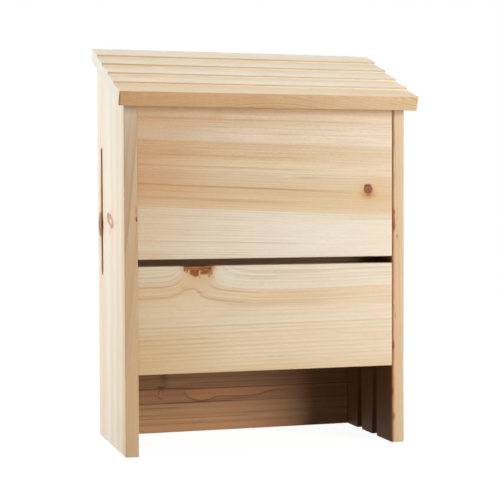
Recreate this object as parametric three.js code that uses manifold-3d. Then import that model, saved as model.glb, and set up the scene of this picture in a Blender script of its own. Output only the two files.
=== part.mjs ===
// Bat box: a three-chamber roosting box of planed fir boards under a sloping roof board.
//
// The sizes below are millimetres. X runs across the box, Y from front to back and Z up.
// The box is first laid out from the side panels' front edges (Y = 0) and their feet (Z = 0).
// The finished group is then moved along Y so that its origin is the middle of its footprint.

import * as THREE from 'three';
import { mergeVertices } from 'three/addons/utils/BufferGeometryUtils.js';
import Module from 'manifold-3d';

const wasm = await Module();
wasm.setup();

// Body boards
const board = 13;             // thickness of the side, front, back and baffle boards
const bodyWidth = 290;        // across the outer faces of the two side panels
const frontChamber = 28.5;    // clear depth between the front panels and the front baffle
const middleChamber = 30;     // clear depth between the two baffles
const rearChamber = 30;       // clear depth between the rear baffle and the back panel
const frontRecess = 0.5;      // front panels stand this far behind the side panels' front edges
const sideFrontHeight = 343;  // side panels, at their front edges
const landingHeight = 79;     // bare back board below the lower front panel, where bats land
const lowerFrontHeight = 105;
const ventGap = 6.8;          // slit between the lower and the upper front panel
const jointGap = 0.3;         // at every butted or bedded joint
const arris = 0.5;            // eased edges of the body boards
const overrun = 5;            // cutting tools reach this far past what they cut

// Roof board, its top milled to look like courses of shingles
const roofPitch = THREE.MathUtils.degToRad(21.6);
const roofThickness = 14.8;   // at the butt of a course
const eavesOverhang = 14;     // lower front edge of the roof, ahead of the side panels
const roofSideOverhang = 7.6;
const courseCount = 5;
const courseStep = 2.7;       // how far a course stands proud of the next one down
const courseArris = 1.4;      // rounded upper edge of each butt
const courseCove = 0.5;       // hollow that the cutter leaves at the foot of each butt
const roofEndArris = 0.4;

// Grooves that house the baffles, and the baffles themselves
const housingDepth = 5;
const housingClearance = 0.4; // each side of a baffle in its groove
const baffleLift = 6;         // baffles start this far above the lower front panel's bottom edge
const bafflePassage = 20;     // way over the top of each baffle, under the roof

// Upright air slot in each side panel, into the rear chamber
const slotWidth = 8;
const slotLength = 132;
const slotFoot = 171;         // height of its lower end
const slotSetback = 10;       // its centre line, ahead of the back panel

// Keyhole recesses in the rear of the back panel, to hang the box on two screws
const keyholeSpacing = 170;
const keyholeDrop = 42;       // entry hole, below the top of the back panel
const keyholeEntry = 10;      // diameter that a screw head passes through
const keyholeNeck = 5.2;      // width for the screw's shank
const keyholeRise = 14;       // from the entry hole's centre to the end of the neck
const keyholeLip = 3.5;       // wood left behind which the screw head hooks
const keyholeDepth = 8;

// Panel pins, thin and small in the head, set just under the wood's surface
const pinShank = 1.6;
const pinHead = 2.6;
const pinHeadThickness = 1;
const pinPoint = 2.5;
const pinSetting = 0.4;       // head below the wood's surface
const pinClearance = 0.3;     // all round, in its hole
const bodyPinLength = 30;
const roofPinLength = 36;
const pinSides = 8;
const pinInset = 5.5;         // roof pins, in from the side panels' outer faces
const backPinRise = 4.6;      // pins into the roof's back edge, above its lower arris
const backPinSpacing = 100;

// Where the pins stand along each board, as shares of that board's height
const backPinShares = [0.08, 0.36, 0.66, 0.9];
const lowerFrontPinShares = [0.22, 0.78];
const upperFrontPinShares = [0.12, 0.5, 0.86];
const bafflePinShares = [0.2, 0.8];

// Colours of pale, unfinished fir and of the pins
const firSide = new THREE.MeshStandardMaterial({ color: 0xe8d3b4, roughness: 0.75, metalness: 0 });
const firFront = new THREE.MeshStandardMaterial({ color: 0xe6c79c, roughness: 0.72, metalness: 0 });
const firRoof = new THREE.MeshStandardMaterial({ color: 0xe3cba4, roughness: 0.75, metalness: 0 });
const firInner = new THREE.MeshStandardMaterial({ color: 0xc79a6c, roughness: 0.8, metalness: 0 });
const steel = new THREE.MeshStandardMaterial({ color: 0x9a9a98, roughness: 0.4, metalness: 1 });

// Sizes and places that follow from the ones above
const innerWidth = bodyWidth - 2 * board;
const frontFace = frontRecess;
const frontBaffleFace = frontFace + board + frontChamber;
const rearBaffleFace = frontBaffleFace + board + middleChamber;
const backFace = rearBaffleFace + board + rearChamber;
const bodyDepth = backFace + board;
const roofRise = Math.tan(roofPitch);
const sideTop = (y) => sideFrontHeight + y * roofRise;
const roofUnderside = (y) => sideTop(y) + jointGap / Math.cos(roofPitch);
const lowerFrontTop = landingHeight + lowerFrontHeight;
const upperFrontFoot = lowerFrontTop + ventGap;
const roofBackEdge = backFace - jointGap;
const courseFoot = roofThickness - courseStep;
const roofBackTop = roofUnderside(roofBackEdge) + courseFoot / Math.cos(roofPitch);
const slotCentre = backFace - slotSetback;

// Length of the roof's top along the slope, from the front butt to the plumb back edge
const slopeLength = (roofBackEdge + eavesOverhang + courseFoot * Math.sin(roofPitch)) / Math.cos(roofPitch);
const courseLength = slopeLength / courseCount;

// A closed solid from a geometry that is already in place
function solidOf(geometry) {
  const plain = geometry.clone();
  plain.deleteAttribute('normal');
  plain.deleteAttribute('uv');
  const merged = mergeVertices(plain);
  return new wasm.Manifold(new wasm.Mesh({
    numProp: 3,
    vertProperties: new Float32Array(merged.attributes.position.array),
    triVerts: new Uint32Array(merged.index.array),
  }));
}

function meshOf(name, solid, material) {
  const data = solid.getMesh();
  const geometry = new THREE.BufferGeometry();
  geometry.setAttribute('position', new THREE.BufferAttribute(data.vertProperties, 3));
  geometry.setIndex(new THREE.BufferAttribute(data.triVerts, 1));
  geometry.computeVertexNormals();
  const mesh = new THREE.Mesh(geometry, material);
  mesh.name = name;
  return mesh;
}

// A board lying across the box: its outline is drawn in Y and Z and carried along X
function acrossX(outline, fromX, toX, ease) {
  const geometry = new THREE.ExtrudeGeometry(outline, {
    depth: toX - fromX - 2 * ease,
    bevelEnabled: ease > 0,
    bevelThickness: ease,
    bevelSize: ease,
    bevelOffset: -ease,
    bevelSegments: 1,
    curveSegments: 3,
  });
  geometry.applyMatrix4(new THREE.Matrix4().makeBasis(
    new THREE.Vector3(0, 1, 0),
    new THREE.Vector3(0, 0, 1),
    new THREE.Vector3(1, 0, 0),
  ));
  geometry.translate(fromX + ease, 0, 0);
  return geometry;
}

// A closed outline through corners given as pairs, each one cut off by the board's eased arris
function easedOutline(corners, ease) {
  const points = [];
  corners.forEach((corner, i) => {
    const here = new THREE.Vector2(...corner);
    const before = new THREE.Vector2(...corners[(i + corners.length - 1) % corners.length]);
    const after = new THREE.Vector2(...corners[(i + 1) % corners.length]);
    points.push(here.clone().add(before.sub(here).setLength(ease)));
    points.push(here.clone().add(after.sub(here).setLength(ease)));
  });
  return new THREE.Shape(points);
}

// A board with its faces across Y and its grain along X, its top edge level or cut to the roof
function crossBoard(width, faceY, foot, topAt) {
  const corners = [
    [faceY, foot],
    [faceY + board, foot],
    [faceY + board, topAt(faceY + board)],
    [faceY, topAt(faceY)],
  ];
  return solidOf(acrossX(easedOutline(corners, arris), -width / 2, width / 2, arris));
}

// A straight upright slot with round ends, cut along X
function slotTool(centreY, foot, length, width, fromX, toX) {
  const radius = width / 2;
  const outline = new THREE.Shape();
  outline.moveTo(centreY - radius, foot + radius);
  outline.absarc(centreY, foot + radius, radius, Math.PI, 2 * Math.PI, false);
  outline.lineTo(centreY + radius, foot + length - radius);
  outline.absarc(centreY, foot + length - radius, radius, 0, Math.PI, false);
  const geometry = new THREE.ExtrudeGeometry(outline, {
    depth: toX - fromX,
    bevelEnabled: false,
    curveSegments: 8,
  });
  geometry.applyMatrix4(new THREE.Matrix4().makeBasis(
    new THREE.Vector3(0, 1, 0),
    new THREE.Vector3(0, 0, 1),
    new THREE.Vector3(1, 0, 0),
  ));
  geometry.translate(fromX, 0, 0);
  return solidOf(geometry);
}

// A block between two corners
function blockTool(low, high) {
  const size = new THREE.Vector3().subVectors(high, low);
  const geometry = new THREE.BoxGeometry(size.x, size.y, size.z);
  geometry.translate((low.x + high.x) / 2, (low.y + high.y) / 2, (low.z + high.z) / 2);
  return solidOf(geometry);
}

// Keyhole recess: an entry hole and a neck through the lip, and a wider pocket behind the lip
function keyholeTool(centreX, entryZ) {
  const entryRadius = keyholeEntry / 2;
  const neckRadius = keyholeNeck / 2;
  const neckTop = entryZ + keyholeRise;
  const neckJoin = Math.acos(neckRadius / entryRadius);
  const mouth = new THREE.Shape();
  mouth.absarc(centreX, entryZ, entryRadius, Math.PI - neckJoin, 2 * Math.PI + neckJoin, false);
  mouth.lineTo(centreX + neckRadius, neckTop);
  mouth.absarc(centreX, neckTop, neckRadius, 0, Math.PI, false);
  const pocket = new THREE.Shape();
  pocket.absarc(centreX, entryZ, entryRadius, Math.PI, 2 * Math.PI, false);
  pocket.lineTo(centreX + entryRadius, neckTop);
  pocket.absarc(centreX, neckTop, entryRadius, 0, Math.PI, false);
  const carve = (outline, near, far) => {
    const geometry = new THREE.ExtrudeGeometry(outline, {
      depth: far - near,
      bevelEnabled: false,
      curveSegments: 8,
    });
    geometry.applyMatrix4(new THREE.Matrix4().makeBasis(
      new THREE.Vector3(1, 0, 0),
      new THREE.Vector3(0, 0, 1),
      new THREE.Vector3(0, -1, 0),
    ));
    geometry.translate(0, far, 0);
    return solidOf(geometry);
  };
  return carve(mouth, bodyDepth - keyholeDepth, bodyDepth + overrun)
    .add(carve(pocket, bodyDepth - keyholeDepth, bodyDepth - keyholeLip));
}

// A pin's turned profile, from its head on the surface to its point. The hole that it is driven
// into is the same profile grown by the clearance, and open above the head.
function pinGeometry(length, grow, open) {
  const headRadius = pinHead / 2 + grow;
  const shankRadius = pinShank / 2 + grow;
  const top = open ? overrun : -pinSetting;
  const headFoot = -pinSetting - pinHeadThickness - grow;
  const neck = headFoot - (headRadius - shankRadius) / 2;
  const profile = [
    [0, -length - grow],
    [shankRadius, -length + pinPoint],
    [shankRadius, neck],
    [headRadius, headFoot],
    [headRadius, top],
    [0, top],
  ];
  return new THREE.LatheGeometry(profile.map(([r, h]) => new THREE.Vector2(r, h)), pinSides);
}

// Every pin: its name, the middle of its mouth on the wood, the way it is driven, its length and
// the two boards that it joins
const pins = [];

function addPin(name, mouth, way, length, boards) {
  pins.push({ name, mouth: new THREE.Vector3(...mouth), way: new THREE.Vector3(...way), length, boards });
}

function addSidePins(label, receiver, centreY, foot, top, shares) {
  for (const [side, sign] of [['left', -1], ['right', 1]]) {
    shares.forEach((share, i) => {
      const mouth = [sign * bodyWidth / 2, centreY, foot + (top - foot) * share];
      addPin(`pin_${side}_${label}_${i + 1}`, mouth, [-sign, 0, 0], bodyPinLength,
        [`${side}_side_panel`, receiver]);
    });
  }
}

const baffleFoot = landingHeight + baffleLift;
const baffleTop = (face) => roofUnderside(face) - bafflePassage;

addSidePins('back', 'back_panel', backFace + board / 2, 0, roofBackTop, backPinShares);
addSidePins('lower_front', 'lower_front_panel', frontFace + board / 2, landingHeight, lowerFrontTop,
  lowerFrontPinShares);
addSidePins('upper_front', 'upper_front_panel', frontFace + board / 2, upperFrontFoot,
  sideTop(frontFace), upperFrontPinShares);
addSidePins('front_baffle', 'front_baffle', frontBaffleFace + board / 2, baffleFoot,
  baffleTop(frontBaffleFace), bafflePinShares);
addSidePins('rear_baffle', 'rear_baffle', rearBaffleFace + board / 2, baffleFoot,
  baffleTop(rearBaffleFace), bafflePinShares);

// One pin in the middle of each course that bears on a side panel
for (const [side, sign] of [['left', -1], ['right', 1]]) {
  for (let course = 1; course < courseCount; course += 1) {
    const along = (course + 0.5) * courseLength;
    const up = roofThickness - courseStep / 2;
    const y = -eavesOverhang + along * Math.cos(roofPitch) - up * Math.sin(roofPitch);
    const z = roofUnderside(-eavesOverhang) + along * Math.sin(roofPitch) + up * Math.cos(roofPitch);
    addPin(`pin_${side}_roof_${course}`, [sign * (bodyWidth / 2 - pinInset), y, z],
      [0, Math.sin(roofPitch), -Math.cos(roofPitch)], roofPinLength, [`${side}_side_panel`, 'roof_board']);
  }
}

// Three pins through the back panel into the roof's plumb back edge
for (const [label, place] of [['left', -1], ['middle', 0], ['right', 1]]) {
  addPin(`pin_back_roof_${label}`,
    [place * backPinSpacing, bodyDepth, roofUnderside(roofBackEdge) + backPinRise],
    [0, -1, 0], bodyPinLength, ['back_panel', 'roof_board']);
}

function placedPin(pin, grow, open) {
  const turn = new THREE.Quaternion().setFromUnitVectors(new THREE.Vector3(0, -1, 0), pin.way);
  return pinGeometry(pin.length, grow, open).applyQuaternion(turn).translate(...pin.mouth);
}

function drilled(name, solid) {
  return pins
    .filter((pin) => pin.boards.includes(name))
    .reduce((wood, pin) => wood.subtract(solidOf(placedPin(pin, pinClearance, true))), solid);
}

// Side panel: a plank with its grain upright, its top cut to the roof's slope, two through
// grooves on its inner face that house the baffles, and the air slot into the rear chamber
function sidePanel(sign) {
  const corners = [
    [0, 0],
    [bodyDepth, 0],
    [bodyDepth, sideTop(bodyDepth)],
    [0, sideTop(0)],
  ];
  const outer = sign * bodyWidth / 2;
  const inner = sign * innerWidth / 2;
  const low = Math.min(outer, inner);
  const high = Math.max(outer, inner);
  let wood = solidOf(acrossX(easedOutline(corners, arris), low, high, arris));
  const groove = sign * (innerWidth / 2 + housingDepth);
  const open = sign * (innerWidth / 2 - overrun);
  for (const face of [frontBaffleFace, rearBaffleFace]) {
    wood = wood.subtract(blockTool(
      new THREE.Vector3(Math.min(groove, open), face - housingClearance, -overrun),
      new THREE.Vector3(Math.max(groove, open), face + board + housingClearance, sideTop(bodyDepth) + overrun),
    ));
  }
  return wood.subtract(slotTool(slotCentre, slotFoot, slotLength, slotWidth, low - overrun, high + overrun));
}

// Roof board: drawn in its own slope frame, with its underside along the first axis, then tilted
function roofBoard() {
  const plumb = (up) => (roofBackEdge + eavesOverhang + up * Math.sin(roofPitch)) / Math.cos(roofPitch);
  const outline = new THREE.Shape();
  outline.moveTo(0, 0);
  outline.lineTo(plumb(0), 0);
  outline.lineTo(plumb(courseFoot), courseFoot);
  const fall = courseStep / courseLength;
  for (let course = courseCount - 1; course >= 0; course -= 1) {
    const butt = course * courseLength;
    outline.lineTo(butt + courseArris, roofThickness - courseArris * fall);
    outline.quadraticCurveTo(butt, roofThickness, butt, roofThickness - courseArris);
    if (course > 0) {
      outline.lineTo(butt, courseFoot + courseCove);
      outline.quadraticCurveTo(butt, courseFoot, butt - courseCove, courseFoot + courseCove * fall);
    }
  }
  const halfWidth = bodyWidth / 2 + roofSideOverhang;
  const geometry = acrossX(outline, -halfWidth, halfWidth, roofEndArris);
  geometry.rotateX(roofPitch);
  geometry.translate(0, -eavesOverhang, roofUnderside(-eavesOverhang));
  return solidOf(geometry);
}

const frontWidth = innerWidth - 2 * jointGap;
const baffleWidth = innerWidth + 2 * (housingDepth - jointGap);
const level = (height) => () => height;

let backPanel = crossBoard(frontWidth, backFace, 0, level(roofBackTop));
for (const sign of [-1, 1]) {
  backPanel = backPanel.subtract(keyholeTool(sign * keyholeSpacing / 2, roofBackTop - keyholeDrop));
}

const boards = [
  ['left_side_panel', sidePanel(-1), firSide],
  ['right_side_panel', sidePanel(1), firSide],
  ['back_panel', backPanel, firInner],
  ['lower_front_panel', crossBoard(frontWidth, frontFace, landingHeight, level(lowerFrontTop)), firFront],
  ['upper_front_panel', crossBoard(frontWidth, frontFace, upperFrontFoot, sideTop), firFront],
  ['front_baffle',
    crossBoard(baffleWidth, frontBaffleFace, baffleFoot, level(baffleTop(frontBaffleFace))), firInner],
  ['rear_baffle',
    crossBoard(baffleWidth, rearBaffleFace, baffleFoot, level(baffleTop(rearBaffleFace))), firInner],
  ['roof_board', roofBoard(), firRoof],
];

const batBox = new THREE.Group();
for (const [name, solid, material] of boards) {
  batBox.add(meshOf(name, drilled(name, solid), material));
}
for (const pin of pins) {
  batBox.add(meshOf(pin.name, solidOf(placedPin(pin, 0, false)), steel));
}

// The footprint runs from the roof's front butt to the back panel
const roofFrontEdge = -eavesOverhang - roofThickness * Math.sin(roofPitch);
batBox.position.y = -(roofFrontEdge + bodyDepth) / 2;

export default batBox;
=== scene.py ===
# %% [markdown]
# This scene dresses a wall-hung bat box of planed, knotty fir. The boards, their joints and their pins
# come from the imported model, at their real size. What is made here is the look: the figure of each
# board, its knots, the light and the view. The model is loaded first, because everything below takes
# its place from it.

# %% Load the box
import math

import bmesh
import bpy
import numpy as np
from mathutils import Matrix, Vector
from mathutils.geometry import delaunay_2d_cdt


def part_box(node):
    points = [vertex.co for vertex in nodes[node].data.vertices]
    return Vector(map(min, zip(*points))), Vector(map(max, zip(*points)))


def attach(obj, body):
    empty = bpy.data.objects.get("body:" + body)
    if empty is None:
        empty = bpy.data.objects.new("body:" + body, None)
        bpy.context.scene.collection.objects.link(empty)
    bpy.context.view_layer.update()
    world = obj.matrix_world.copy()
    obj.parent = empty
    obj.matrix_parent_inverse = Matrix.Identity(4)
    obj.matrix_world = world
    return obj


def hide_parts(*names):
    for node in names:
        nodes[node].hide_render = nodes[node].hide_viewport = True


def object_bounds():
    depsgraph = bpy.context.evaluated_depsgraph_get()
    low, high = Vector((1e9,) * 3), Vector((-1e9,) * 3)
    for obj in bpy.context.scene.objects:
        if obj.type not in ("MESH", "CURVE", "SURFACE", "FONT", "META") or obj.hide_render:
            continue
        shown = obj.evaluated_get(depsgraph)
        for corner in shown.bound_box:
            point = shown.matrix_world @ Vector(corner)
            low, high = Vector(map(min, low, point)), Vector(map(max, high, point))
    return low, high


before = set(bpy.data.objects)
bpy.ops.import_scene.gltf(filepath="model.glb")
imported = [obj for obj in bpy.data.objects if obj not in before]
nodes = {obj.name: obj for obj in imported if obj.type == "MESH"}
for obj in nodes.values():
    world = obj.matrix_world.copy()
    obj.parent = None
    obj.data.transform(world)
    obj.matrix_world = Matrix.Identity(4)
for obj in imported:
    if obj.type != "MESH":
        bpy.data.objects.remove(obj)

cad_low, cad_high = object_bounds()
print("nodes:", len(nodes), "box in mm:", [round(1000 * side, 1) for side in cad_high - cad_low])

# %% [markdown]
# The photograph was taken with a long lens from the left, a little above the box's middle. A camera
# can be found by moving it until the picture looks right, but here it was solved from the edges and
# corners of the boards, so its place and turn are plain numbers. The columns of its matrix are the
# picture's right, the picture's up, and the way back to the photographer.

# %% Place the camera
CAMERA_PLACE = (-0.3999, -1.336976, 0.2448)
CAMERA_YAW = math.radians(16.611)
CAMERA_PITCH = math.radians(1.971)
CAMERA_ROLL = math.radians(-0.206)
LENS_MM = 97.23
SENSOR_MM = 36


def camera_turn(yaw, pitch, roll):
    """Rotation of a camera that looks along +Y, turned right by yaw, down by pitch, then rolled."""
    forward = Vector((math.sin(yaw) * math.cos(pitch), math.cos(yaw) * math.cos(pitch), -math.sin(pitch)))
    level = Vector((math.cos(yaw), -math.sin(yaw), 0))
    rise = level.cross(forward)
    right = level * math.cos(roll) + rise * math.sin(roll)
    up = rise * math.cos(roll) - level * math.sin(roll)
    return Matrix((right, up, -forward)).transposed()


lens = bpy.data.cameras.new("photo_camera")
lens.lens = LENS_MM
lens.sensor_width = SENSOR_MM
camera = bpy.data.objects.new("photo_camera", lens)
camera.matrix_world = camera_turn(CAMERA_YAW, CAMERA_PITCH, CAMERA_ROLL).to_4x4()
camera.location = CAMERA_PLACE
bpy.context.scene.collection.objects.link(camera)
bpy.context.scene.camera = camera
bpy.context.scene.view_settings.view_transform = "Standard"
print("camera distance in m:", round((camera.location - (cad_low + cad_high) / 2).length, 3))

# %% [markdown]
# Materials are made of nodes, and a node tree is easier to read when each step is one short line. These
# helpers add a node and feed its inputs. A value that is handed to them may be a number, a vector, a
# colour or another node's socket, and that socket also tells them which tree they are working in.


# %% Helpers that add and feed nodes
def add(tree, kind, **settings):
    """Add a node and set its properties by name."""
    node = tree.nodes.new(kind)
    for name, value in settings.items():
        setattr(node, name, value)
    return node


def tree_of(values):
    """The tree that the first socket among some values lies in."""
    return next(value.id_data for value in values if isinstance(value, bpy.types.NodeSocket))


def link(socket, value):
    """Link an input to another node's socket, or set its own value."""
    if isinstance(value, bpy.types.NodeSocket):
        socket.id_data.links.new(value, socket)
    else:
        socket.default_value = value


def feed(node, **values):
    """Feed a node's inputs by their names, with _ for a space; returns the node's outputs."""
    for name, value in values.items():
        link(node.inputs[name.replace("_", " ")], value)
    return node.outputs


# %% [markdown]
# Arithmetic on sockets is done by Math nodes. The next helpers write it as plain calls, so that a mask
# reads as times(patch, strength). Colours are picked as a screen shows them, from 0 to 255, and turned
# into the linear light that nodes work with at the last moment.


# %% Helpers for sums, masks and colours
def maths(operation, *values, clamp=False):
    """One Math node; returns its result."""
    node = add(tree_of(values), "ShaderNodeMath", operation=operation, use_clamp=clamp)
    for socket, value in zip(node.inputs, values):
        link(socket, value)
    return node.outputs[0]


def times(first, *others):
    """The product of all values."""
    for other in others:
        first = maths("MULTIPLY", first, other)
    return first


def minus(first, second):
    """The first value less the second."""
    return maths("SUBTRACT", first, second)


def ratio(value, low, high):
    """0 at low, 1 at high, a straight line between them, and no more beyond."""
    return maths("DIVIDE", minus(value, low), high - low, clamp=True)


def smooth(value, start, end):
    """0 below start, 1 above end, and an eased rise between them; start may be above end."""
    node = add(tree_of([value]), "ShaderNodeMapRange", interpolation_type="SMOOTHSTEP")
    return feed(node, Value=value, From_Min=start, From_Max=end)["Result"]


def scaled(value, low, high):
    """A share from 0 to 1 spread from low to high."""
    return feed(add(tree_of([value]), "ShaderNodeMapRange"), Value=value, To_Min=low, To_Max=high)["Result"]


def linear(colour):
    """A screen colour, 0 to 255, as linear light by the screen's curve; a socket stays as it is."""
    if isinstance(colour, bpy.types.NodeSocket):
        return colour
    screen = np.array(colour) / 255
    light = np.where(screen <= 0.04045, screen / 12.92, ((screen + 0.055) / 1.055) ** 2.4)
    return (*light.tolist(), 1.0)


def mixed(share, first, second, blend="MIX"):
    """A colour between two, or the second laid on the first by a blend mode."""
    tree = tree_of([share, first, second])
    node = add(tree, "ShaderNodeMix", data_type="RGBA", blend_type=blend, clamp_factor=True)
    link(node.inputs["Factor"], share)
    colour_inputs = [socket for socket in node.inputs if socket.type == "RGBA"]
    for socket, colour in zip(colour_inputs, (first, second)):
        link(socket, linear(colour))
    return next(socket for socket in node.outputs if socket.type == "RGBA")


# %% [markdown]
# Places are vectors. A noise is read at a place that is first stretched by its grain, the number of
# cycles per unit along each direction, and that is how wood gets streaks instead of blots.


# %% Helpers for places and noises
def vectors(operation, *values):
    """One Vector Math node; returns its vector, or its number for a dot product or a length."""
    node = add(tree_of(values), "ShaderNodeVectorMath", operation=operation)
    for socket, value in zip(node.inputs, values):
        link(socket, value)
    return node.outputs["Value" if operation in ("DOT_PRODUCT", "LENGTH") else "Vector"]


def split(place):
    """The three numbers of a vector."""
    return feed(add(tree_of([place]), "ShaderNodeSeparateXYZ"), Vector=place)


def joined(x, y=0.0, z=0.0):
    """A vector of three numbers."""
    return feed(add(tree_of([x, y, z]), "ShaderNodeCombineXYZ"), X=x, Y=y, Z=z)[0]


def noise(place, grain, detail, roughness, output=0):
    """A Noise Texture of a place, with grain cycles per unit along each of its directions."""
    node = add(tree_of([place]), "ShaderNodeTexNoise")
    stretched = vectors("MULTIPLY", place, grain)
    return feed(node, Vector=stretched, Scale=1.0, Detail=detail, Roughness=roughness)[output]


# %% [markdown]
# The picture was lit by soft boxes on a white table. The key stands to the right of the front,
# near enough to fade across the boards, and as wide as the soft shadow that the right side throws
# into the box. One on the left bleaches the outer face of the left side, one above lights the roof,
# and one behind shows the back to whoever walks round the box. The soft boxes are area lamps here.
# Their sizes and places come from those shadows.

# %% Light the box
middle = (cad_low + cad_high) / 2


def soft_box(name, azimuth, elevation, distance, width, height, power, colour=(1, 1, 1), aim=middle):
    """An area lamp at a direction and distance from the point it aims at; azimuth 0 is in front."""
    lamp = bpy.data.lights.new(name, "AREA")
    lamp.shape = "RECTANGLE"
    lamp.size = width
    lamp.size_y = height
    lamp.energy = power
    lamp.color = colour
    turn, lift = math.radians(azimuth), math.radians(elevation)
    away = Vector((math.sin(turn) * math.cos(lift), -math.cos(turn) * math.cos(lift), math.sin(lift)))
    box = bpy.data.objects.new(name, lamp)
    box.location = Vector(aim) + away * distance
    box.rotation_mode = "QUATERNION"
    box.rotation_quaternion = away.to_track_quat("Z", "Y")
    bpy.context.scene.collection.objects.link(box)


front_right = Vector((cad_high.x, cad_low.y, middle.z))
soft_box("key_right", azimuth=34, elevation=4, distance=1.4, width=0.80, height=1.28, power=32.3,
         colour=(1.0, 0.985, 0.96), aim=front_right)
soft_box("side_left", azimuth=-104, elevation=10, distance=1.1, width=0.8, height=1.1, power=12.9,
         colour=(0.98, 1.02, 1.06))
soft_box("top", azimuth=175, elevation=80, distance=1.6, width=0.9, height=0.7, power=10.6)
soft_box("back", azimuth=168, elevation=16, distance=1.4, width=0.9, height=1.0, power=11)

# %% [markdown]
# The background is pure white. It is not lit that bright, because that would flood the inside of the
# box, which is nearly black at its right end. The world and the floor are white only to the eye and in
# reflections, and they give back little light. The floor adds its lit colour to a glow that is a
# little short of white, so that a faint shadow stays under the box.

# %% White world and floor
WHITE = (1, 1, 1, 1)
WORLD_FILL = 0.03
FLOOR_GLOW = 0.94
GLOW_NEAR = 0.22
GLOW_FAR = 0.75
FLOOR_GREY = (0.2, 0.2, 0.2, 1)
FLOOR_ROUGHNESS = 0.9
FLOOR_SIDE = 8.0
FLOOR_GAP = 0.0005


def seen_directly(tree):
    """1 for a ray that the camera, a mirror or a pane sends, and 0 for light that bounces."""
    path = add(tree, "ShaderNodeLightPath").outputs
    seen = maths("MAXIMUM", path["Is Camera Ray"], path["Is Glossy Ray"])
    return maths("MAXIMUM", seen, path["Is Transmission Ray"])


def white_world():
    """A world that is white to look at and dim as a lamp."""
    world = bpy.data.worlds.new("white_room")
    world.use_nodes = True
    tree = world.node_tree
    feed(tree.nodes["Background"], Color=WHITE, Strength=scaled(seen_directly(tree), WORLD_FILL, 1.0))
    return world


def floor_material():
    """White to the eye, with the shadow that lamps leave on it."""
    material = bpy.data.materials.new("white_table")
    material.use_nodes = True
    tree = material.node_tree
    away = vectors("LENGTH", add(tree, "ShaderNodeTexCoord").outputs["Object"])
    glow = scaled(smooth(away, GLOW_NEAR, GLOW_FAR), FLOOR_GLOW, 1.0)
    feed(tree.nodes["Principled BSDF"], Base_Color=FLOOR_GREY, Roughness=FLOOR_ROUGHNESS,
         Specular_IOR_Level=0.0, Emission_Color=WHITE, Emission_Strength=times(glow, seen_directly(tree)))
    return material


bpy.context.scene.world = white_world()
floor_mesh = bpy.data.meshes.new("floor")
half = FLOOR_SIDE / 2
floor_corners = [(-half, -half, 0), (half, -half, 0), (half, half, 0), (-half, half, 0)]
floor_mesh.from_pydata(floor_corners, [], [(0, 1, 2, 3)])
floor_mesh.materials.append(floor_material())
floor = bpy.data.objects.new("floor", floor_mesh)
floor.location.z = cad_low.z - FLOOR_GAP
bpy.context.scene.collection.objects.link(floor)
print("floor side in m:", FLOOR_SIDE)

# %% [markdown]
# All boards are fir, so they share their effects, and each effect is a node group: a small tree of its
# own with named inputs and outputs, built once and placed in every material with its own values. A
# board's place vector is in millimetres: X runs along the grain, Y goes from the face into the wood, and
# Z goes across the board.


# %% Helpers for node groups
def new_group(name, outputs, **inputs):
    """A group with number outputs; an input's default, a number or a vector, gives its kind."""
    group = bpy.data.node_groups.new(name, "ShaderNodeTree")
    for label, default in inputs.items():
        kind = "NodeSocketVector" if isinstance(default, tuple) else "NodeSocketFloat"
        socket = group.interface.new_socket(label.replace("_", " "), in_out="INPUT", socket_type=kind)
        socket.default_value = default
    for label in outputs:
        group.interface.new_socket(label, in_out="OUTPUT", socket_type="NodeSocketFloat")
    print("group:", name, "from", list(inputs), "to", outputs)
    return group, group.nodes.new("NodeGroupInput").outputs, group.nodes.new("NodeGroupOutput")


def placed(group, **values):
    """A group placed in the tree of its values; returns the group's outputs."""
    return feed(add(tree_of(values.values()), "ShaderNodeGroup", node_tree=group), **values)


def bell_of(off):
    """exp(-d^2): 1 at nought, fading on both sides."""
    return maths("EXPONENT", times(off, off, -1.0))


# %% [markdown]
# The first group turns a point of a board into its growth-ring height: the height at which the ring that
# passes through the point meets the middle of the board's face. Rings are arcs of a wide circle across
# the board and nearly straight along it, they wander a little, and they swell towards a knot. Every line
# and band of the figure is drawn at such a height, so that all of them bend together, as in a real board.

# %% Group: growth-ring height
ORIGIN = (0, 0, 0)
WANDER_GRAIN = (0.006, 0.02, 0.022)


def ring_height_group():
    """Height = Z + Lean*Y + Bow*Y^2 + X*(Tilt + Tilt swell*bell of Z) + Wander*noise."""
    group, given, result = new_group(
        "ring_height", ["Height"], Place=ORIGIN, Lean=0.4, Bow=0.004, Tilt=0.0, Tilt_swell=0.0,
        Swell_height=0.0, Swell_reach=40.0, Wander=1.0,
    )
    along, depth, across = split(given["Place"])
    bowed = maths("MULTIPLY_ADD", depth, given["Bow"], given["Lean"])
    height = maths("MULTIPLY_ADD", depth, bowed, across)
    swell = bell_of(maths("DIVIDE", minus(across, given["Swell height"]), given["Swell reach"]))
    slope = maths("MULTIPLY_ADD", swell, given["Tilt swell"], given["Tilt"])
    height = maths("MULTIPLY_ADD", along, slope, height)
    drift = minus(noise(given["Place"], WANDER_GRAIN, 2.0, 0.4), 0.5)
    feed(result, Height=maths("MULTIPLY_ADD", drift, given["Wander"], height))
    return group


ring_height = ring_height_group()

# %% [markdown]
# Fir grows a wide pale ring in spring and closes it with a thin brown line in summer. The line has a
# soft inner side and a hard outer one. A repeating ramp gives that shape. A slow noise stretches and
# squeezes the rings, and a random number for each ring makes one line strong and the next faint.

# %% Group: growth rings
STRETCH_GRAIN = 0.31
LATE_RISE = (0.3, 0.88)
LATE_STOP = (1.0, 0.9)
FAINTEST_RING = 0.25
FEW_STRONG = 1.6


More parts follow.
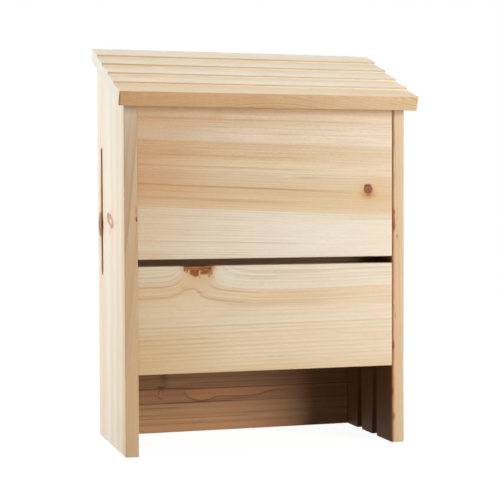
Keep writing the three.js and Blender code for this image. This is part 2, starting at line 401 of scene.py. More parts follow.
def growth_rings_group():
    """Late wood rises over each ring and stops sharply at its end, with a random strength per ring."""
    group, given, result = new_group(
        "growth_rings", ["Late wood"], Height=0.0, Spacing=4.0, Unevenness=0.8, Seed=0.0
    )
    count = maths("ADD", maths("DIVIDE", given["Height"], given["Spacing"]), given["Seed"])
    stretch = add(group, "ShaderNodeTexNoise", noise_dimensions="1D")
    stretch = feed(stretch, W=times(count, STRETCH_GRAIN), Scale=1.0, Detail=1.0, Roughness=0.5)[0]
    count = maths("MULTIPLY_ADD", minus(stretch, 0.5), given["Unevenness"], count)
    share = maths("FRACT", count)
    random = feed(add(group, "ShaderNodeTexWhiteNoise", noise_dimensions="1D"), W=maths("FLOOR", count))
    strength = scaled(maths("POWER", random["Value"], FEW_STRONG), FAINTEST_RING, 1.0)
    feed(result, Late_wood=times(smooth(share, *LATE_RISE), smooth(share, *LATE_STOP), strength))
    return group


growth_rings = growth_rings_group()

# %% [markdown]
# Planed fir has hair-thin streaks along its fibres, short specks between them, and softer clouds of
# tone. All three are noises that are stretched along the grain. They give a tone around nought, and a
# height for the bump.

# %% Group: fibre
HAIR_GRAIN = (0.018, 0.42, 0.42)
SPECK_GRAIN = (0.2, 0.8, 0.8)
SPECK_SHARE = 0.62
CLOUD_GRAIN = (0.014, 0.05, 0.085)


def fibre_group():
    """Tone = Fine*(hair + share of speck - 1/2) + Cloud*(cloud - 1/2), each a stretched noise."""
    group, given, result = new_group("fibre", ["Tone", "Relief"], Place=ORIGIN, Fine=0.5, Cloud=0.5)
    hair = noise(given["Place"], HAIR_GRAIN, 4.0, 0.7)
    speck = noise(given["Place"], SPECK_GRAIN, 2.0, 0.6)
    hair = maths("MULTIPLY_ADD", minus(speck, 0.5), SPECK_SHARE, hair)
    cloud = noise(given["Place"], CLOUD_GRAIN, 3.0, 0.55)
    fine = times(minus(hair, 0.5), given["Fine"])
    feed(result, Tone=maths("MULTIPLY_ADD", minus(cloud, 0.5), given["Cloud"], fine), Relief=hair)
    return group


fibre = fibre_group()

# %% [markdown]
# Much of a board's character is in soft marks: a yellow corner, the halo of a knot, a pink cloud. They
# are all one shape, a bell that fades from a centre with its own reach along each direction.


# %% Group: soft patch
def soft_patch_group():
    """Mask = exp(-d^2), where d is the distance from the centre measured in reaches."""
    group, given, result = new_group("soft_patch", ["Mask"], Place=ORIGIN, Centre=ORIGIN, Reach=(1, 1, 1))
    away = vectors("DIVIDE", vectors("SUBTRACT", given["Place"], given["Centre"]), given["Reach"])
    feed(result, Mask=maths("EXPONENT", times(vectors("DOT_PRODUCT", away, away), -1.0)))
    return group


soft_patch = soft_patch_group()

# %% [markdown]
# Some late-wood lines stand out more than the rest. Each of them is drawn at its own ring height, with
# a soft lower side and a sharper upper one, and it can fade out along the board.

# %% Group: standing line
FAR = 400.0


def standing_line_group():
    """A bell round a ring height, with one width below it and one above, faded along X."""
    group, given, result = new_group(
        "standing_line", ["Mask"], Height=0.0, Along=0.0, Line_height=0.0, Below=1.0, Above=0.5,
        Start=-FAR, End=FAR, Fade=12.0,
    )
    off = minus(given["Height"], given["Line height"])
    width = feed(add(group, "ShaderNodeMix"), Factor=maths("GREATER_THAN", off, 0.0), A=given["Below"],
                 B=given["Above"])["Result"]
    after = maths("DIVIDE", minus(given["Along"], given["Start"]), given["Fade"])
    before = maths("DIVIDE", minus(given["End"], given["Along"]), given["Fade"])
    ends = times(smooth(after, -1.0, 1.0), smooth(before, -1.0, 1.0))
    feed(result, Mask=times(bell_of(maths("DIVIDE", off, width)), ends))
    return group


standing_line = standing_line_group()

# %% [markdown]
# A knot is the root of a branch that the trunk grew round. Its wood is harder and redder, with rings of
# its own, so it could be painted by hand, but a distance from its centre measured in radii gives the
# core, the rim and the rings at once. Its outline frays when the place that it is given is frayed.

# %% Group: knot
CORE_EDGE = (1.06, 0.9)
RIM_PLACE = 0.95
RIM_SHARPNESS = 7.0
KNOT_RINGS = 19.0
RING_TONES = (0.25, 0.6)


def knot_group():
    """Core, rim and inner rings of a knot, from the distance to its centre in radii."""
    group, given, result = new_group(
        "knot", ["Core", "Rim", "Rings"], Place=ORIGIN, Centre=ORIGIN, Radii=(6, 40, 6)
    )
    away = vectors("DIVIDE", vectors("SUBTRACT", given["Place"], given["Centre"]), given["Radii"])
    distance = vectors("LENGTH", away)
    rim = bell_of(times(minus(distance, RIM_PLACE), RIM_SHARPNESS))
    rings = scaled(maths("SINE", times(distance, KNOT_RINGS)), *RING_TONES)
    feed(result, Core=smooth(distance, *CORE_EDGE), Rim=rim, Rings=rings)
    return group


knot = knot_group()

# %% [markdown]
# The material of a board is built up by a class, a step at a time. The first step is the place: the
# object's own coordinates, turned so that X follows the grain and scaled to millimetres. From it come the
# ring heights, and these are then bent: they part round a small knot, climb to a big one, swell, or run
# at a slant where a narrow edge shows them.

# %% A board's place and its rings
MM = 1000.0
FRONT_TURN = (0, 0, 0)
SIDE_TURN = (math.radians(90), 0, math.radians(90))
SHALLOW = 20
FRAY = 1.6
FRAY_GRAIN = 0.45
LIFTED = 0.9


class Grain:
    """The place vector and the ring heights of one board's material."""

    def __init__(self, name, turn, origin, rings, spacing, zones, zone_span, unevenness=0.8, seed=0.0):
        self.material = bpy.data.materials.new(name)
        self.material.use_nodes = True
        self.tree = self.material.node_tree
        self.turn = turn
        mapping = add(self.tree, "ShaderNodeMapping")
        own_place = add(self.tree, "ShaderNodeTexCoord").outputs["Object"]
        self.place = feed(mapping, Vector=own_place, Scale=(MM, MM, MM), Rotation=turn, Location=origin)[0]
        self.along, self.depth, self.across = split(self.place)
        self.height = placed(ring_height, Place=self.place, **rings)[0]
        self.spacing, self.unevenness, self.seed = spacing, unevenness, seed
        self.zones, self.zone_span = zones, zone_span
        self.ragged = self.frayed(FRAY, FRAY_GRAIN)

    def frayed(self, amount, grain):
        """The place vector with its outlines frayed by a noise, by up to half the amount in millimetres."""
        clouds = noise(self.place, (grain,) * 3, 3.0, 0.6, "Color")
        centred = vectors("SUBTRACT", clouds, (0.5, 0.5, 0.5))
        return vectors("ADD", self.place, vectors("MULTIPLY", centred, (amount,) * 3))

    def patch(self, centre, reach, frayed=False):
        """The mask of a soft patch at (along, depth, across) in mm, or at (along, across) on the face."""
        if len(centre) == 2:
            centre, reach = (centre[0], 0, centre[1]), (reach[0], SHALLOW, reach[1])
        place = self.ragged if frayed else self.place
        return placed(soft_patch, Place=place, Centre=centre, Reach=reach)[0]

    def swell(self, centre, reach, lift):
        """Rings rise by lift millimetres towards a centre."""
        self.height = minus(self.height, times(self.patch(centre, reach), lift))

    def part(self, centre, reach, push):
        """Rings part on both sides of a centre, by up to push millimetres."""
        way = maths("TANH", maths("DIVIDE", minus(self.across, centre[2]), reach[2] / 2))
        self.height = minus(self.height, times(self.patch(centre, reach), way, push))

    def curve(self, value, points, tall):
        """A smooth curve through given points of (place, amount up to tall), read at a value."""
        low, high = points[0][0], points[-1][0]
        node = add(self.tree, "ShaderNodeFloatCurve")
        line = node.mapping.curves[0]
        while len(line.points) < len(points):
            line.points.new(1.0, 0.0)
        for point, (place, amount) in zip(line.points, points):
            point.location = ((place - low) / (high - low), amount / tall)
        node.mapping.update()
        return times(feed(node, Value=ratio(value, low, high))[0], tall)

    def climb(self, points, tall, low, high):
        """Rings rise by the curve's amount along the board, fully above one height and not below another."""
        lift = self.curve(self.along, points, tall)
        share = ratio(maths("MULTIPLY_ADD", lift, -LIFTED, self.height), low, high)
        self.height = minus(self.height, times(lift, share))

    def slant(self, edge, slope):
        """On a narrow edge, beyond a place across the board, the rings run at a slant to the grain."""
        on_edge = smooth(self.across, edge + 1.0, edge)
        self.height = maths("MULTIPLY_ADD", times(self.along, slope), on_edge, self.height)


# %% [markdown]
# Next come the colours, laid on one another as thin coats through masks. The order is that of the
# wood: broad zones, then the rings, standing lines, stains and fibre, and knots and flecks on top. Deep
# inside the box the boards are darkened with painted shade.

# %% A board's colours
LATE_GOLD = (196, 136, 76)
LATE_BROWN = (176, 118, 68)
FRAYED_EDGE = (0.15, 0.65)
MOTTLED_EDGE = (0.25, 0.7)
DARK_CHECKS = (0.51, 0.6)
LIGHT_FLECKS = (0.45, 0.36)
CHANNEL_POWERS = (0.75, 1.0, 1.35)
FIBRE_RELIEF = 0.5


class Figure(Grain):
    """The colours of one board, layer by layer."""

    def lay(self, colour, *masks, blend="MIX"):
        """One coat of a colour, where the product of its masks lets it through."""
        self.colour = mixed(times(*masks), self.colour, colour, blend)

    def lay_zones(self):
        """Broad bands of colour across the board; a zone is a ring height and the colour there."""
        low, high = self.zone_span
        ramp = add(self.tree, "ShaderNodeValToRGB")
        while len(ramp.color_ramp.elements) < len(self.zones):
            ramp.color_ramp.elements.new(1.0)
        for stop, (height, *colour) in zip(ramp.color_ramp.elements, self.zones):
            stop.position = (height - low) / (high - low)
            stop.color = linear(colour)
        self.colour = feed(ramp, Fac=ratio(self.height, low, high))[0]

    def lay_rings(self, strength, colour=LATE_GOLD, where=1.0):
        """Late-wood lines, where a mask allows them."""
        self.late = placed(growth_rings, Height=self.height, Spacing=self.spacing,
                           Unevenness=self.unevenness, Seed=self.seed)[0]
        self.lay(colour, self.late, strength, where)
        self.relief = self.late

    def lines(self, rows, colour=LATE_BROWN, fade=12.0):
        """Standing lines; a row is a ring height, widths below and above it, a strength, and two ends."""
        for height, below, above, strength, start, end in rows:
            mask = placed(standing_line, Height=self.height, Along=self.along, Line_height=height,
                          Below=below, Above=above, Start=start, End=end, Fade=fade)[0]
            self.lay(colour, mask, strength)

    def stains(self, *rows):
        """Soft patches of other tones; a row is a centre, a reach, a strength and a colour."""
        for centre, reach, strength, colour in rows:
            self.lay(colour, self.patch(centre, reach), strength)

    def flecks(self, *rows):
        """Small marks with a frayed but definite outline, in rows like those of stains."""
        for centre, reach, strength, colour in rows:
            self.lay(colour, smooth(self.patch(centre, reach, frayed=True), *FRAYED_EDGE), strength)

    def mottle(self, centre, reach, grain, strength, dark, light):
        """Dark checks and light flecks inside a frayed patch; grain is in cycles per millimetre."""
        clouds = noise(self.place, grain, 3.0, 0.6)
        inside = smooth(self.patch(centre, reach, frayed=True), *MOTTLED_EDGE)
        for edge, colour in ((DARK_CHECKS, dark), (LIGHT_FLECKS, light)):
            self.lay(colour, inside, strength, smooth(clouds, *edge))

    def lay_fibre(self, fine, cloud):
        """Streaks and clouds that lighten and darken the wood, blue more than red."""
        tone, relief = placed(fibre, Place=self.place, Fine=fine, Cloud=cloud)
        value = maths("ADD", tone, 1.0)
        grey = joined(*(maths("POWER", value, power) for power in CHANNEL_POWERS))
        self.colour = vectors("MULTIPLY", self.colour, grey)
        self.relief = maths("MULTIPLY_ADD", relief, FIBRE_RELIEF, self.relief)

    def knot(self, centre, radii, heart, rim, halo, halo_size, halo_strength, rim_strength,
             fray=(3.0, 0.3), lean=0.0):
        """A knot with its halo, rim and rings; its outline is frayed, and can lean along the grain."""
        self.lay(halo, self.patch(centre, tuple(side * halo_size for side in radii)), halo_strength)
        shift = joined(times(minus(self.across, centre[2]), -lean))
        place = vectors("ADD", self.frayed(*fray), shift)
        core, edge, rings = placed(knot, Place=place, Centre=centre, Radii=radii)
        self.lay(mixed(rings, heart, rim), core)
        self.lay(rim, edge, rim_strength)

    def inside(self, depth, front, back, colour):
        """Painted shade: darker wood deeper than a depth and between two places across the board."""
        way = math.copysign(0.5, depth)
        deep = smooth(self.depth, depth - way, depth + way)
        self.lay(colour, deep, smooth(self.across, front + 0.3, front + 1.5),
                 smooth(self.across, back - 0.9, back - 2.1), blend="MULTIPLY")


# %% [markdown]
# Last come the end grain, which is darker because it drinks the light, and the shader. The shader is a
# plain one with a dull sheen, a little glossier on the hard late wood. The rings and the fibre also raise
# the surface by a hair, through a Bump node.

# %% A board's end grain and shader
END_TONE = (214, 186, 148)
END_STRENGTH = 0.8
END_FACING = (0.6, 0.9)
ROUGHNESS = (0.62, 0.52)
SHEEN = 0.35
BUMP_STRENGTH = 0.12
BUMP_HEIGHT = 0.0004


class Board(Figure):
    """The finished material of one board."""

    def finish(self, end_tone=END_TONE, end_blend="MULTIPLY"):
        """Lay the end grain on, feed the shader, and return the material."""
        turned = add(self.tree, "ShaderNodeMapping", vector_type="VECTOR")
        normal = add(self.tree, "ShaderNodeTexCoord").outputs["Normal"]
        facing = vectors("DOT_PRODUCT", feed(turned, Vector=normal, Rotation=self.turn)[0], (1, 0, 0))
        cut = smooth(maths("ABSOLUTE", facing), *END_FACING)
        self.lay(end_tone, cut, END_STRENGTH, blend=end_blend)
        raised = feed(add(self.tree, "ShaderNodeBump"), Strength=BUMP_STRENGTH, Distance=BUMP_HEIGHT,
                      Height=self.relief)[0]
        feed(self.tree.nodes["Principled BSDF"], Base_Color=self.colour, Normal=raised,
             Roughness=scaled(self.late, *ROUGHNESS), Specular_IOR_Level=SHEEN)
        print(self.material.name, "nodes:", len(self.tree.nodes))
        return self.material


def dress(material, *names):
    """Give a material to nodes of the model."""
    for name in names:
        mesh = nodes[name].data
        mesh.materials.clear()
        mesh.materials.append(material)


# %% [markdown]
# The boards that show are made again here at the same size, because planed fir is never as flawless as
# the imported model: its arrises are rubbed round, a knot chips at the saw cut, a waney edge wanders. A
# board could be sculpted, but it is one section carried along its grain, so it is worked out as one
# array instead. Row i of the array is a place along the grain and column j a point of the section.
# Relief then sinks each point along the section's own normal.

# %% Eased sections
JOINT_GAP = 0.3
ARRIS = 0.6


def box_of(name):
    """Lowest and highest corners of a node, in millimetres."""
    return [MM * np.array(corner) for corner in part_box(name)]


def eased(corners, radii, steps=5):
    """Each corner becomes an arc about the point that lies radius / cos(half its turn) inside it."""
    corners = np.array(corners, float)
    radii = np.broadcast_to(np.array(radii, float), len(corners))[:, None]
    into = corners - np.roll(corners, 1, 0)
    away = np.roll(corners, -1, 0) - corners
    into /= np.linalg.norm(into, axis=1, keepdims=True)
    away /= np.linalg.norm(away, axis=1, keepdims=True)
    turn = np.arccos(np.clip((into * away).sum(1, keepdims=True), -1, 1))
    inward = (away - into) / np.linalg.norm(away - into, axis=1, keepdims=True)
    centre = corners + inward * radii / np.cos(turn / 2)
    first = (corners - into * radii * np.tan(turn / 2) - centre)[:, None]
    last = (corners + away * radii * np.tan(turn / 2) - centre)[:, None]
    share, turn = np.linspace(0, 1, steps)[None, :, None], turn[:, None]
    arcs = (np.sin((1 - share) * turn) * first + np.sin(share * turn) * last) / np.sin(turn)
    return (arcs + centre[:, None]).reshape(-1, 2)


def filled(outline, step, fine, low, high):
    """Points are added round the closed outline: every fine step within a box, every step elsewhere."""
    closed = np.vstack([outline, outline[:1]])
    length = np.concatenate([[0], np.cumsum(np.linalg.norm(np.diff(closed, axis=0), axis=1))])
    marks = np.arange(0, length[-1], fine)
    points = np.column_stack([np.interp(marks, length, closed[:, axis]) for axis in (0, 1)])
    near = (points >= low).all(1) & (points <= high).all(1)
    regular = np.arange(len(marks)) % round(step / fine) == 0
    clear = np.abs(marks[:, None] - length).min(1) > fine / 3
    marks = np.sort(np.concatenate([length[:-1], marks[(near | regular) & clear]]))
    return np.column_stack([np.interp(marks, length, closed[:, axis]) for axis in (0, 1)])


# %% [markdown]
# Along its grain a board needs close points only where something fine is to be seen. The saw leaves a
# small ease at each end, so the last stations crowd there and the section draws in on a quarter circle.

# %% Carry a section along the grain
END_EASE = 0.15


def stations(start, end, step, fine, low, high):
    """Places along the grain: fine steps between two bounds, plain ones elsewhere, and round each end."""
    marks = np.arange(start, end, fine)
    near = (marks > low) & (marks < high)
    regular = np.arange(len(marks)) % round(step / fine) == 0
    inner = marks[(near | regular) & (marks > start + 2 * END_EASE) & (marks < end - 2 * END_EASE)]
    curl = END_EASE * (1 - np.cos(np.linspace(0, math.pi / 2, 4)))
    return np.concatenate([start + curl, inner, end - curl[::-1]])


def outward(outline):
    """Each point's normal: the way from the point before to the one after, turned right by 90 degrees."""
    way = np.roll(outline, -1, 0) - np.roll(outline, 1, 0)
    return np.column_stack([way[:, 1], -way[:, 0]]) / np.linalg.norm(way, axis=1, keepdims=True)


def carried(outline, along, relief):
    """point[i, j] = outline[j] - normal[j] * (draw[i] + relief), where draw rounds off both ends."""
    nearest = np.clip(np.minimum(along - along[0], along[-1] - along) / END_EASE, 0, 1)
    draw = END_EASE * (1 - np.sqrt(1 - (1 - nearest) ** 2))
    sunk = draw[:, None] + relief(along[:, None], outline[None, :, 0], outline[None, :, 1])
    return outline[None] - outward(outline)[None] * sunk[..., None]


# %% [markdown]
# Relief is worked out from three plain functions: an even noise for planing waves and torn fibres, a
# bell for one mark, and an eased step for a border. A knot needs a shape that is level inside and ends
# quickly, so its distance is raised to the fourth power.

# %% Relief
def unevenness(first, second, reach, seed):
    """Smooth noise from -1 to 1: random numbers on a lattice, with an eased blend between its nodes."""
    table = np.random.default_rng(seed).uniform(-1, 1, (64, 64))
    rows, columns = np.broadcast_arrays(first / reach[0], second / reach[1])
    row, column = np.floor(rows).astype(int), np.floor(columns).astype(int)
    down, right = rows - row, columns - column
    down, right = down * down * (3 - 2 * down), right * right * (3 - 2 * right)
    upper = table[row % 64, column % 64] * (1 - down) + table[(row + 1) % 64, column % 64] * down
    lower = table[row % 64, (column + 1) % 64] * (1 - down) + table[(row + 1) % 64, (column + 1) % 64] * down
    return upper * (1 - right) + lower * right


def bell(value, centre, reach):
    """exp(-d^2), where d is the distance from the centre in reaches."""
    return np.exp(-(((value - centre) / reach) ** 2))


def eased_step(value, start, end):
    """0 before start, 1 after end, and an eased rise between them; start may be above end."""
    share = np.clip((value - start) / (end - start), 0, 1)
    return share * share * (3 - 2 * share)


def dish(first, second, centre, radii):
    """exp(-d^4), where d is the distance from the centre in radii: level inside a knot, nought outside."""
    distance = ((first - centre[0]) / radii[0]) ** 2 + ((second - centre[1]) / radii[1]) ** 2
    return np.exp(-(distance**2))


# %% [markdown]
# The array becomes a mesh: four neighbours make a face. One face of many sides could close each end,
# but points in one line along its border would give it triangles of no area, so the ends are filled with
# well-shaped triangles instead. Then all faces are turned outwards together.

# %% Make a board
SHARP_ANGLE = math.radians(38)
SAME_POINT = 0.00001


def board_mesh(name, places):
    """A closed mesh from places[i, j], a point in millimetres at station i and section point j."""
    count, around = places.shape[:2]
    index = np.arange(count * around).reshape(count, around)
    after = np.roll(index, -1, 1)
    faces = np.stack([index[:-1], after[:-1], after[1:], index[1:]], -1).reshape(-1, 4).tolist()
    grain = np.abs(places[-1].mean(0) - places[0].mean(0)).argmax()
    for end in (0, count - 1):
        loop = np.delete(places[end], grain, 1).tolist()
        triangles = delaunay_2d_cdt(loop, [], [list(range(around))], 1, SAME_POINT)[2]
        faces += (np.array(triangles) + index[end, 0]).tolist()
    mesh = bpy.data.meshes.new(name)
    mesh.from_pydata(places.reshape(-1, 3) / MM, [], faces)
    solid = bmesh.new()
    solid.from_mesh(mesh)
    bmesh.ops.recalc_face_normals(solid, faces=solid.faces)
    open_edges = sum(not edge.is_manifold for edge in solid.edges)
    print(name, "faces:", len(faces), "open edges:", open_edges, "cm3:", round(solid.calc_volume() * 1e6, 1))
    solid.to_mesh(mesh)
    solid.free()
    return mesh


def board_piece(name, mesh, node, material):
    """An object for the mesh: smooth but for its sharp edges, riding on the box in place of its node."""
    mesh.shade_smooth()
    mesh.set_sharp_from_angle(angle=SHARP_ANGLE)
    mesh.materials.clear()
    mesh.materials.append(material)
    board = bpy.data.objects.new(name, mesh)
    bpy.context.scene.collection.objects.link(board)
    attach(board, "root")
    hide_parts(node)


# %% [markdown]
# Both front boards butt against the side panels and stand half a millimetre behind their edges. The
# upper one is bevelled along its top to the roof's slope.

# %% Sizes that the boards share
ROOF_PITCH = math.radians(21.6)
EAVES_OVERHANG = 14.0
FRONT_FIT = 0.15
LONG_STEP = 3.0
SHORT_STEP = 2.0
FINE_STEP = 0.5
right_low, right_high = box_of("right_side_panel")
roof_low, roof_high = box_of("roof_board")
side_front, side_back = right_low[1], right_high[1]
inner_half, outer_half = right_low[0], right_high[0]
roof_foot = np.array((side_front - EAVES_OVERHANG, roof_low[2]))


def side_top(y):
    """Height of the side panels' sloping top edge at a depth in the box."""
    return roof_foot[1] + (y - roof_foot[0]) * math.tan(ROOF_PITCH) - JOINT_GAP / math.cos(ROOF_PITCH)


def front_board(name, node, top, relief, fine_along, fine_across, material):
    """A front board: its section in y and z, with eased arrises, is carried from side to side along x."""
    low, high = box_of(node)
    corners = [(low[1], low[2]), (high[1], low[2]), (high[1], top(high[1])), (low[1], top(low[1]))]
    fine_low, fine_high = (low[1] - 1, fine_across[0]), (low[1] + 3, fine_across[1])
    section = filled(eased(corners, ARRIS), SHORT_STEP, FINE_STEP, fine_low, fine_high)
    half_span = inner_half - FRONT_FIT
    along = stations(-half_span, half_span, LONG_STEP, FINE_STEP, *fine_along)
    flat = carried(section, along, relief)
    places = np.dstack([np.broadcast_to(along[:, None], flat.shape[:2]), flat])
    board_piece(name, board_mesh(name, places), node, material)


print("side panels from y", round(side_front, 2), "to", round(side_back, 2), "inner faces at x", inner_half)

# %% [markdown]
# The upper front board has the boldest figure: pale sapwood along its lower half, and above it a broad
# orange band with soft brown stripes that fall to the right, and a small round knot at the right. Its
# zones are listed from its bottom edge to its top, at the height where each meets the board's middle.

# %% Upper front board: figure
LONG_FADE = 50.0
front_face = box_of("upper_front_panel")[0][1]
upper = Board(
    "upper_front_fir", FRONT_TURN, (0, -front_face, 0),
    rings=dict(Lean=0.35, Bow=0.004, Tilt=0.012, Tilt_swell=0.03, Swell_height=248.0, Swell_reach=52.0,
               Wander=2.2),
    spacing=2.6, seed=3.3,
    zones=[
        (190, 240, 226, 203), (200, 243, 230, 208), (228, 242, 228, 205), (236.3, 241, 226, 202),
        (238.2, 233, 207, 168), (242, 230, 202, 162), (251, 229, 201, 160), (255, 224, 194, 152),
        (260, 225, 195, 154), (264, 228, 203, 168), (271, 224, 200, 167), (277, 236, 215, 183),
        (286, 231, 206, 168), (292, 223, 194, 154), (303.4, 221, 191, 150), (305.4, 232, 213, 186),
        (312, 230, 212, 186), (318, 225, 206, 177), (325, 216, 191, 158), (331, 217, 194, 162),
        (340, 206, 170, 136),
    ],
    zone_span=(185, 345),
)
UPPER_KNOT = (105.8, 5.0, 259.3)
upper.part(UPPER_KNOT, (17, 60, 11), 3.2)
upper.lay_zones()
in_sapwood = times(smooth(upper.height, 236.0, 226.0), smooth(upper.along, -60.0, 60.0))
upper.lay_rings(0.31, where=scaled(in_sapwood, 1.0, 0.25))
upper.lines([
    (336.8, 1.2, 0.8, 0.50, -FAR, 20),
    (327.0, 1.3, 0.7, 0.42, -FAR, FAR),
    (319.5, 0.8, 0.4, 0.22, -90, 60),
    (313.6, 0.5, 0.4, 0.35, -60, FAR),
    (290.3, 1.8, 1.0, 0.30, -FAR, 60),
    (279.2, 1.6, 0.8, 0.34, -FAR, 40),
    (259.8, 1.0, 0.45, 0.58, -FAR, 60),
    (253.5, 0.7, 0.4, 0.22, -FAR, -30),
    (246.6, 2.2, 1.2, 0.32, -FAR, 20),
    (230.2, 1.4, 0.8, 0.16, -FAR, -30),
    (205.8, 0.6, 0.4, 0.36, -FAR, 40),
], fade=LONG_FADE)
upper.stains(
    # Painted shade and light: the wide warm stains at the left end and the pale ones at the right end make
    # the board darker and more orange towards the left and paler towards the right.
    ((-132, 0, 276), (62, 90, 40), 0.58, (218, 154, 98)),
    ((-140, 0, 325), (90, 90, 22), 0.35, (214, 166, 118)),
    ((-96.3, 0, 337.4), (4, 30, 1.6), 0.6, (150, 90, 58)),
    ((-50.7, 0, 337.1), (5, 30, 1.8), 0.7, (140, 84, 54)),
    ((-51.6, 0, 329), (6, 30, 3), 0.45, (214, 156, 104)),
    ((19, 0, 271.5), (7, 30, 0.8), 0.6, (240, 228, 190)),
    ((42, 0, 270), (9, 30, 0.7), 0.45, (190, 142, 98)),
    ((-119.9, 0, 193.9), (22, 60, 4), 0.45, (222, 180, 130)),
    ((128, 0, 318), (70, 90, 34), 0.50, (242, 224, 203)),
    ((128, 0, 278), (62, 90, 17), 0.12, (243, 225, 200)),
    ((-132, 0, 216), (58, 90, 23), 0.60, (236, 204, 156)),
    ((55, 0, 213), (55, 90, 15), 0.42, (245, 237, 224)),
    ((120, 0, 231.2), (50, 60, 4.6), 0.70, (232, 216, 186)),
    ((118, 0, 228.8), (42, 60, 0.7), 0.30, (204, 178, 138)),
    ((112, 0, 226.6), (55, 60, 0.9), 0.50, (250, 240, 221)),
    # A painted highlight along the top edge lightens the shadow that the roof casts there.
    ((0, 0, 338.5), (900, 90, 3.2), 0.80, (243, 205, 157)),
    ((20, 0, 320), (70, 90, 30), 0.20, (240, 218, 190)),
)
upper.lay_fibre(scaled(smooth(upper.across, 270.0, 292.0), 0.25, 0.50), 0.13)

# %% [markdown]
# The small knot comes on top of the fibre: a warm halo first, the knot itself, and then its dark checks
# and light spots, whose places are measured from its middle.

# %% Upper front board: small knot
upper.stains(
    ((112, 5, 260.5), (17, 60, 9), 0.45, (230, 190, 140)),
    ((104, 5, 251), (14, 60, 5.5), 0.50, (228, 192, 128)),
    ((106, 5, 254.2), (6.6, 40, 4.4), 0.95, (176, 112, 62)),
    ((116, 5, 264), (9, 40, 6), 0.45, (232, 184, 136)),
)
upper.knot(UPPER_KNOT, (4.5, 40, 4.5), heart=(152, 90, 46), rim=(120, 66, 28),
           halo=(214, 160, 112), halo_size=1.3, halo_strength=0.5, rim_strength=0.6)
for (x, z), reach, strength, colour in (
    ((-3.4, 1.4), (0.9, 2.3), 0.85, (110, 64, 38)),
    ((-1.9, 3.3), (1.8, 1), 0.85, (108, 62, 36)),
    ((1.8, 4), (2.2, 0.7), 0.75, (120, 72, 44)),
    ((-0.9, 0.2), (0.8, 1), 0.60, (186, 140, 112)),
    ((1.8, 1.4), (1, 0.8), 0.50, (170, 116, 86)),
    ((0.6, -1.4), (2.4, 0.8), 0.70, (132, 70, 44)),
    ((4.6, -0.8), (0.8, 1.4), 0.60, (160, 98, 62)),
    ((0.8, -5.9), (2, 1.1), 0.75, (148, 88, 42)),
    ((-2.6, -4.4), (1.6, 1), 0.50, (176, 112, 64)),
    ((0.2, -7.6), (0.6, 1.2), 0.50, (190, 142, 86)),
    ((-7.2, 2.6), (1.2, 0.5), 0.45, (200, 156, 118)),
    ((-6.6, 0.8), (1.3, 0.5), 0.45, (206, 160, 124)),
):
    upper.flecks(((UPPER_KNOT[0] + x, UPPER_KNOT[2] + z), reach, strength, colour))
upper_fir = upper.finish()

# %% Upper front board: wood
KNOT_SINK = 0.25
PLANING = 0.05


def upper_relief(x, y, z):
    """Planing waves, the knot a little sunk and rough, all of it only on the board's face."""
    face = eased_step(y, front_face + 1.5, front_face + 0.2)
    round_knot = dish(x, z, (UPPER_KNOT[0], UPPER_KNOT[2] - 1.2), (5.6, 6.4))
    rough = unevenness(x, z, (1.5, 1.2), 11)
    waves = PLANING * (1 + unevenness(x, z, (38, 3.5), 4))
    return face * (waves + round_knot * KNOT_SINK * (1 + 0.6 * rough))


front_board("upper_front_wood", "upper_front_panel", side_top, upper_relief, fine_along=(96, 116),
            fine_across=(248, 267), material=upper_fir)

# %% [markdown]
# The lower front board carries the one big knot, which the saw cut through at the board's top edge. It
# is brick red and checked, with a yellow halo, and the rings climb to it from both sides, higher on
# the left. A curve through a few points gives the climb. Below it the rings are fine and nearly level.
# An orange band with a hard upper border crosses the right half.

# %% Lower front board: figure
SHORT_FADE = 7.0
lower_high = box_of("lower_front_panel")[1]
lower = Board(
    "lower_front_fir", FRONT_TURN, (0, -front_face, 0),
    rings=dict(Lean=0.3, Bow=0.004, Tilt=-0.012, Tilt_swell=0.0, Wander=1.3),
    spacing=4.1, unevenness=1.2, seed=7.1,
    zones=[
        (78, 236, 206, 164), (90, 240, 217, 181), (98, 243, 222, 188), (112, 241, 218, 182),
        (128, 243, 225, 196), (141, 242, 221, 190), (147, 240, 215, 179), (158.5, 240, 213, 177),
        (160.5, 243, 228, 204), (172, 242, 227, 205), (186, 242, 227, 204),
    ],
    zone_span=(70, 190),
)
CLIMB = [
    (-132, 8.0), (-108, 8.2), (-95.8, 10.1), (-87.3, 13.7), (-80, 15.0), (-74.4, 14.0), (-70.5, 10.6),
    (-66.4, 7.6), (-59, 5.6), (-46.5, 3.5), (-27.8, 1.5), (-8.9, 0.0), (132, 0.0),
]
BIG_KNOT = (-71.0, 4.0, 184.0)
lower.climb(CLIMB, 16.0, 130.0, 147.5)
lower.swell((-66.0, 0, 184.0), (18, 90, 13.5), 24.0)
lower.lay_zones()
near_knot = maths("ADD", lower.patch((-68.0, 0, 171.0), (24, 60, 9)),
                  lower.patch((-77.0, 0, 150.5), (21, 60, 8.5)))
halo_clear = maths("SUBTRACT", 1.0, near_knot, clamp=True)
lower.lay_rings(0.41, where=halo_clear)
lower.lines([
    (109.0, 1.0, 0.5, 0.30, -FAR, -50),
    (114.2, 1.0, 0.5, 0.28, -FAR, -60),
    (144.4, 1.0, 0.5, 0.24, -46, FAR),
    (147.2, 1.1, 0.6, 0.46, -FAR, -20),
    (147.2, 1.1, 0.6, 0.20, -14, 60),
    (152.0, 1.0, 0.5, 0.12, -20, 90),
    (157.2, 1.1, 0.6, 0.50, -FAR, -88),
    (157.2, 1.0, 0.5, 0.48, -60, -8),
    (157.2, 1.0, 0.5, 0.22, -2, 70),
    (162.0, 0.9, 0.5, 0.40, -FAR, -88),
    (166.4, 0.8, 0.5, 0.30, -FAR, -92),
    (172.6, 1.2, 0.7, 0.26, -48, 10),
    (176.6, 0.8, 0.5, 0.22, -30, 60),
], fade=SHORT_FADE)
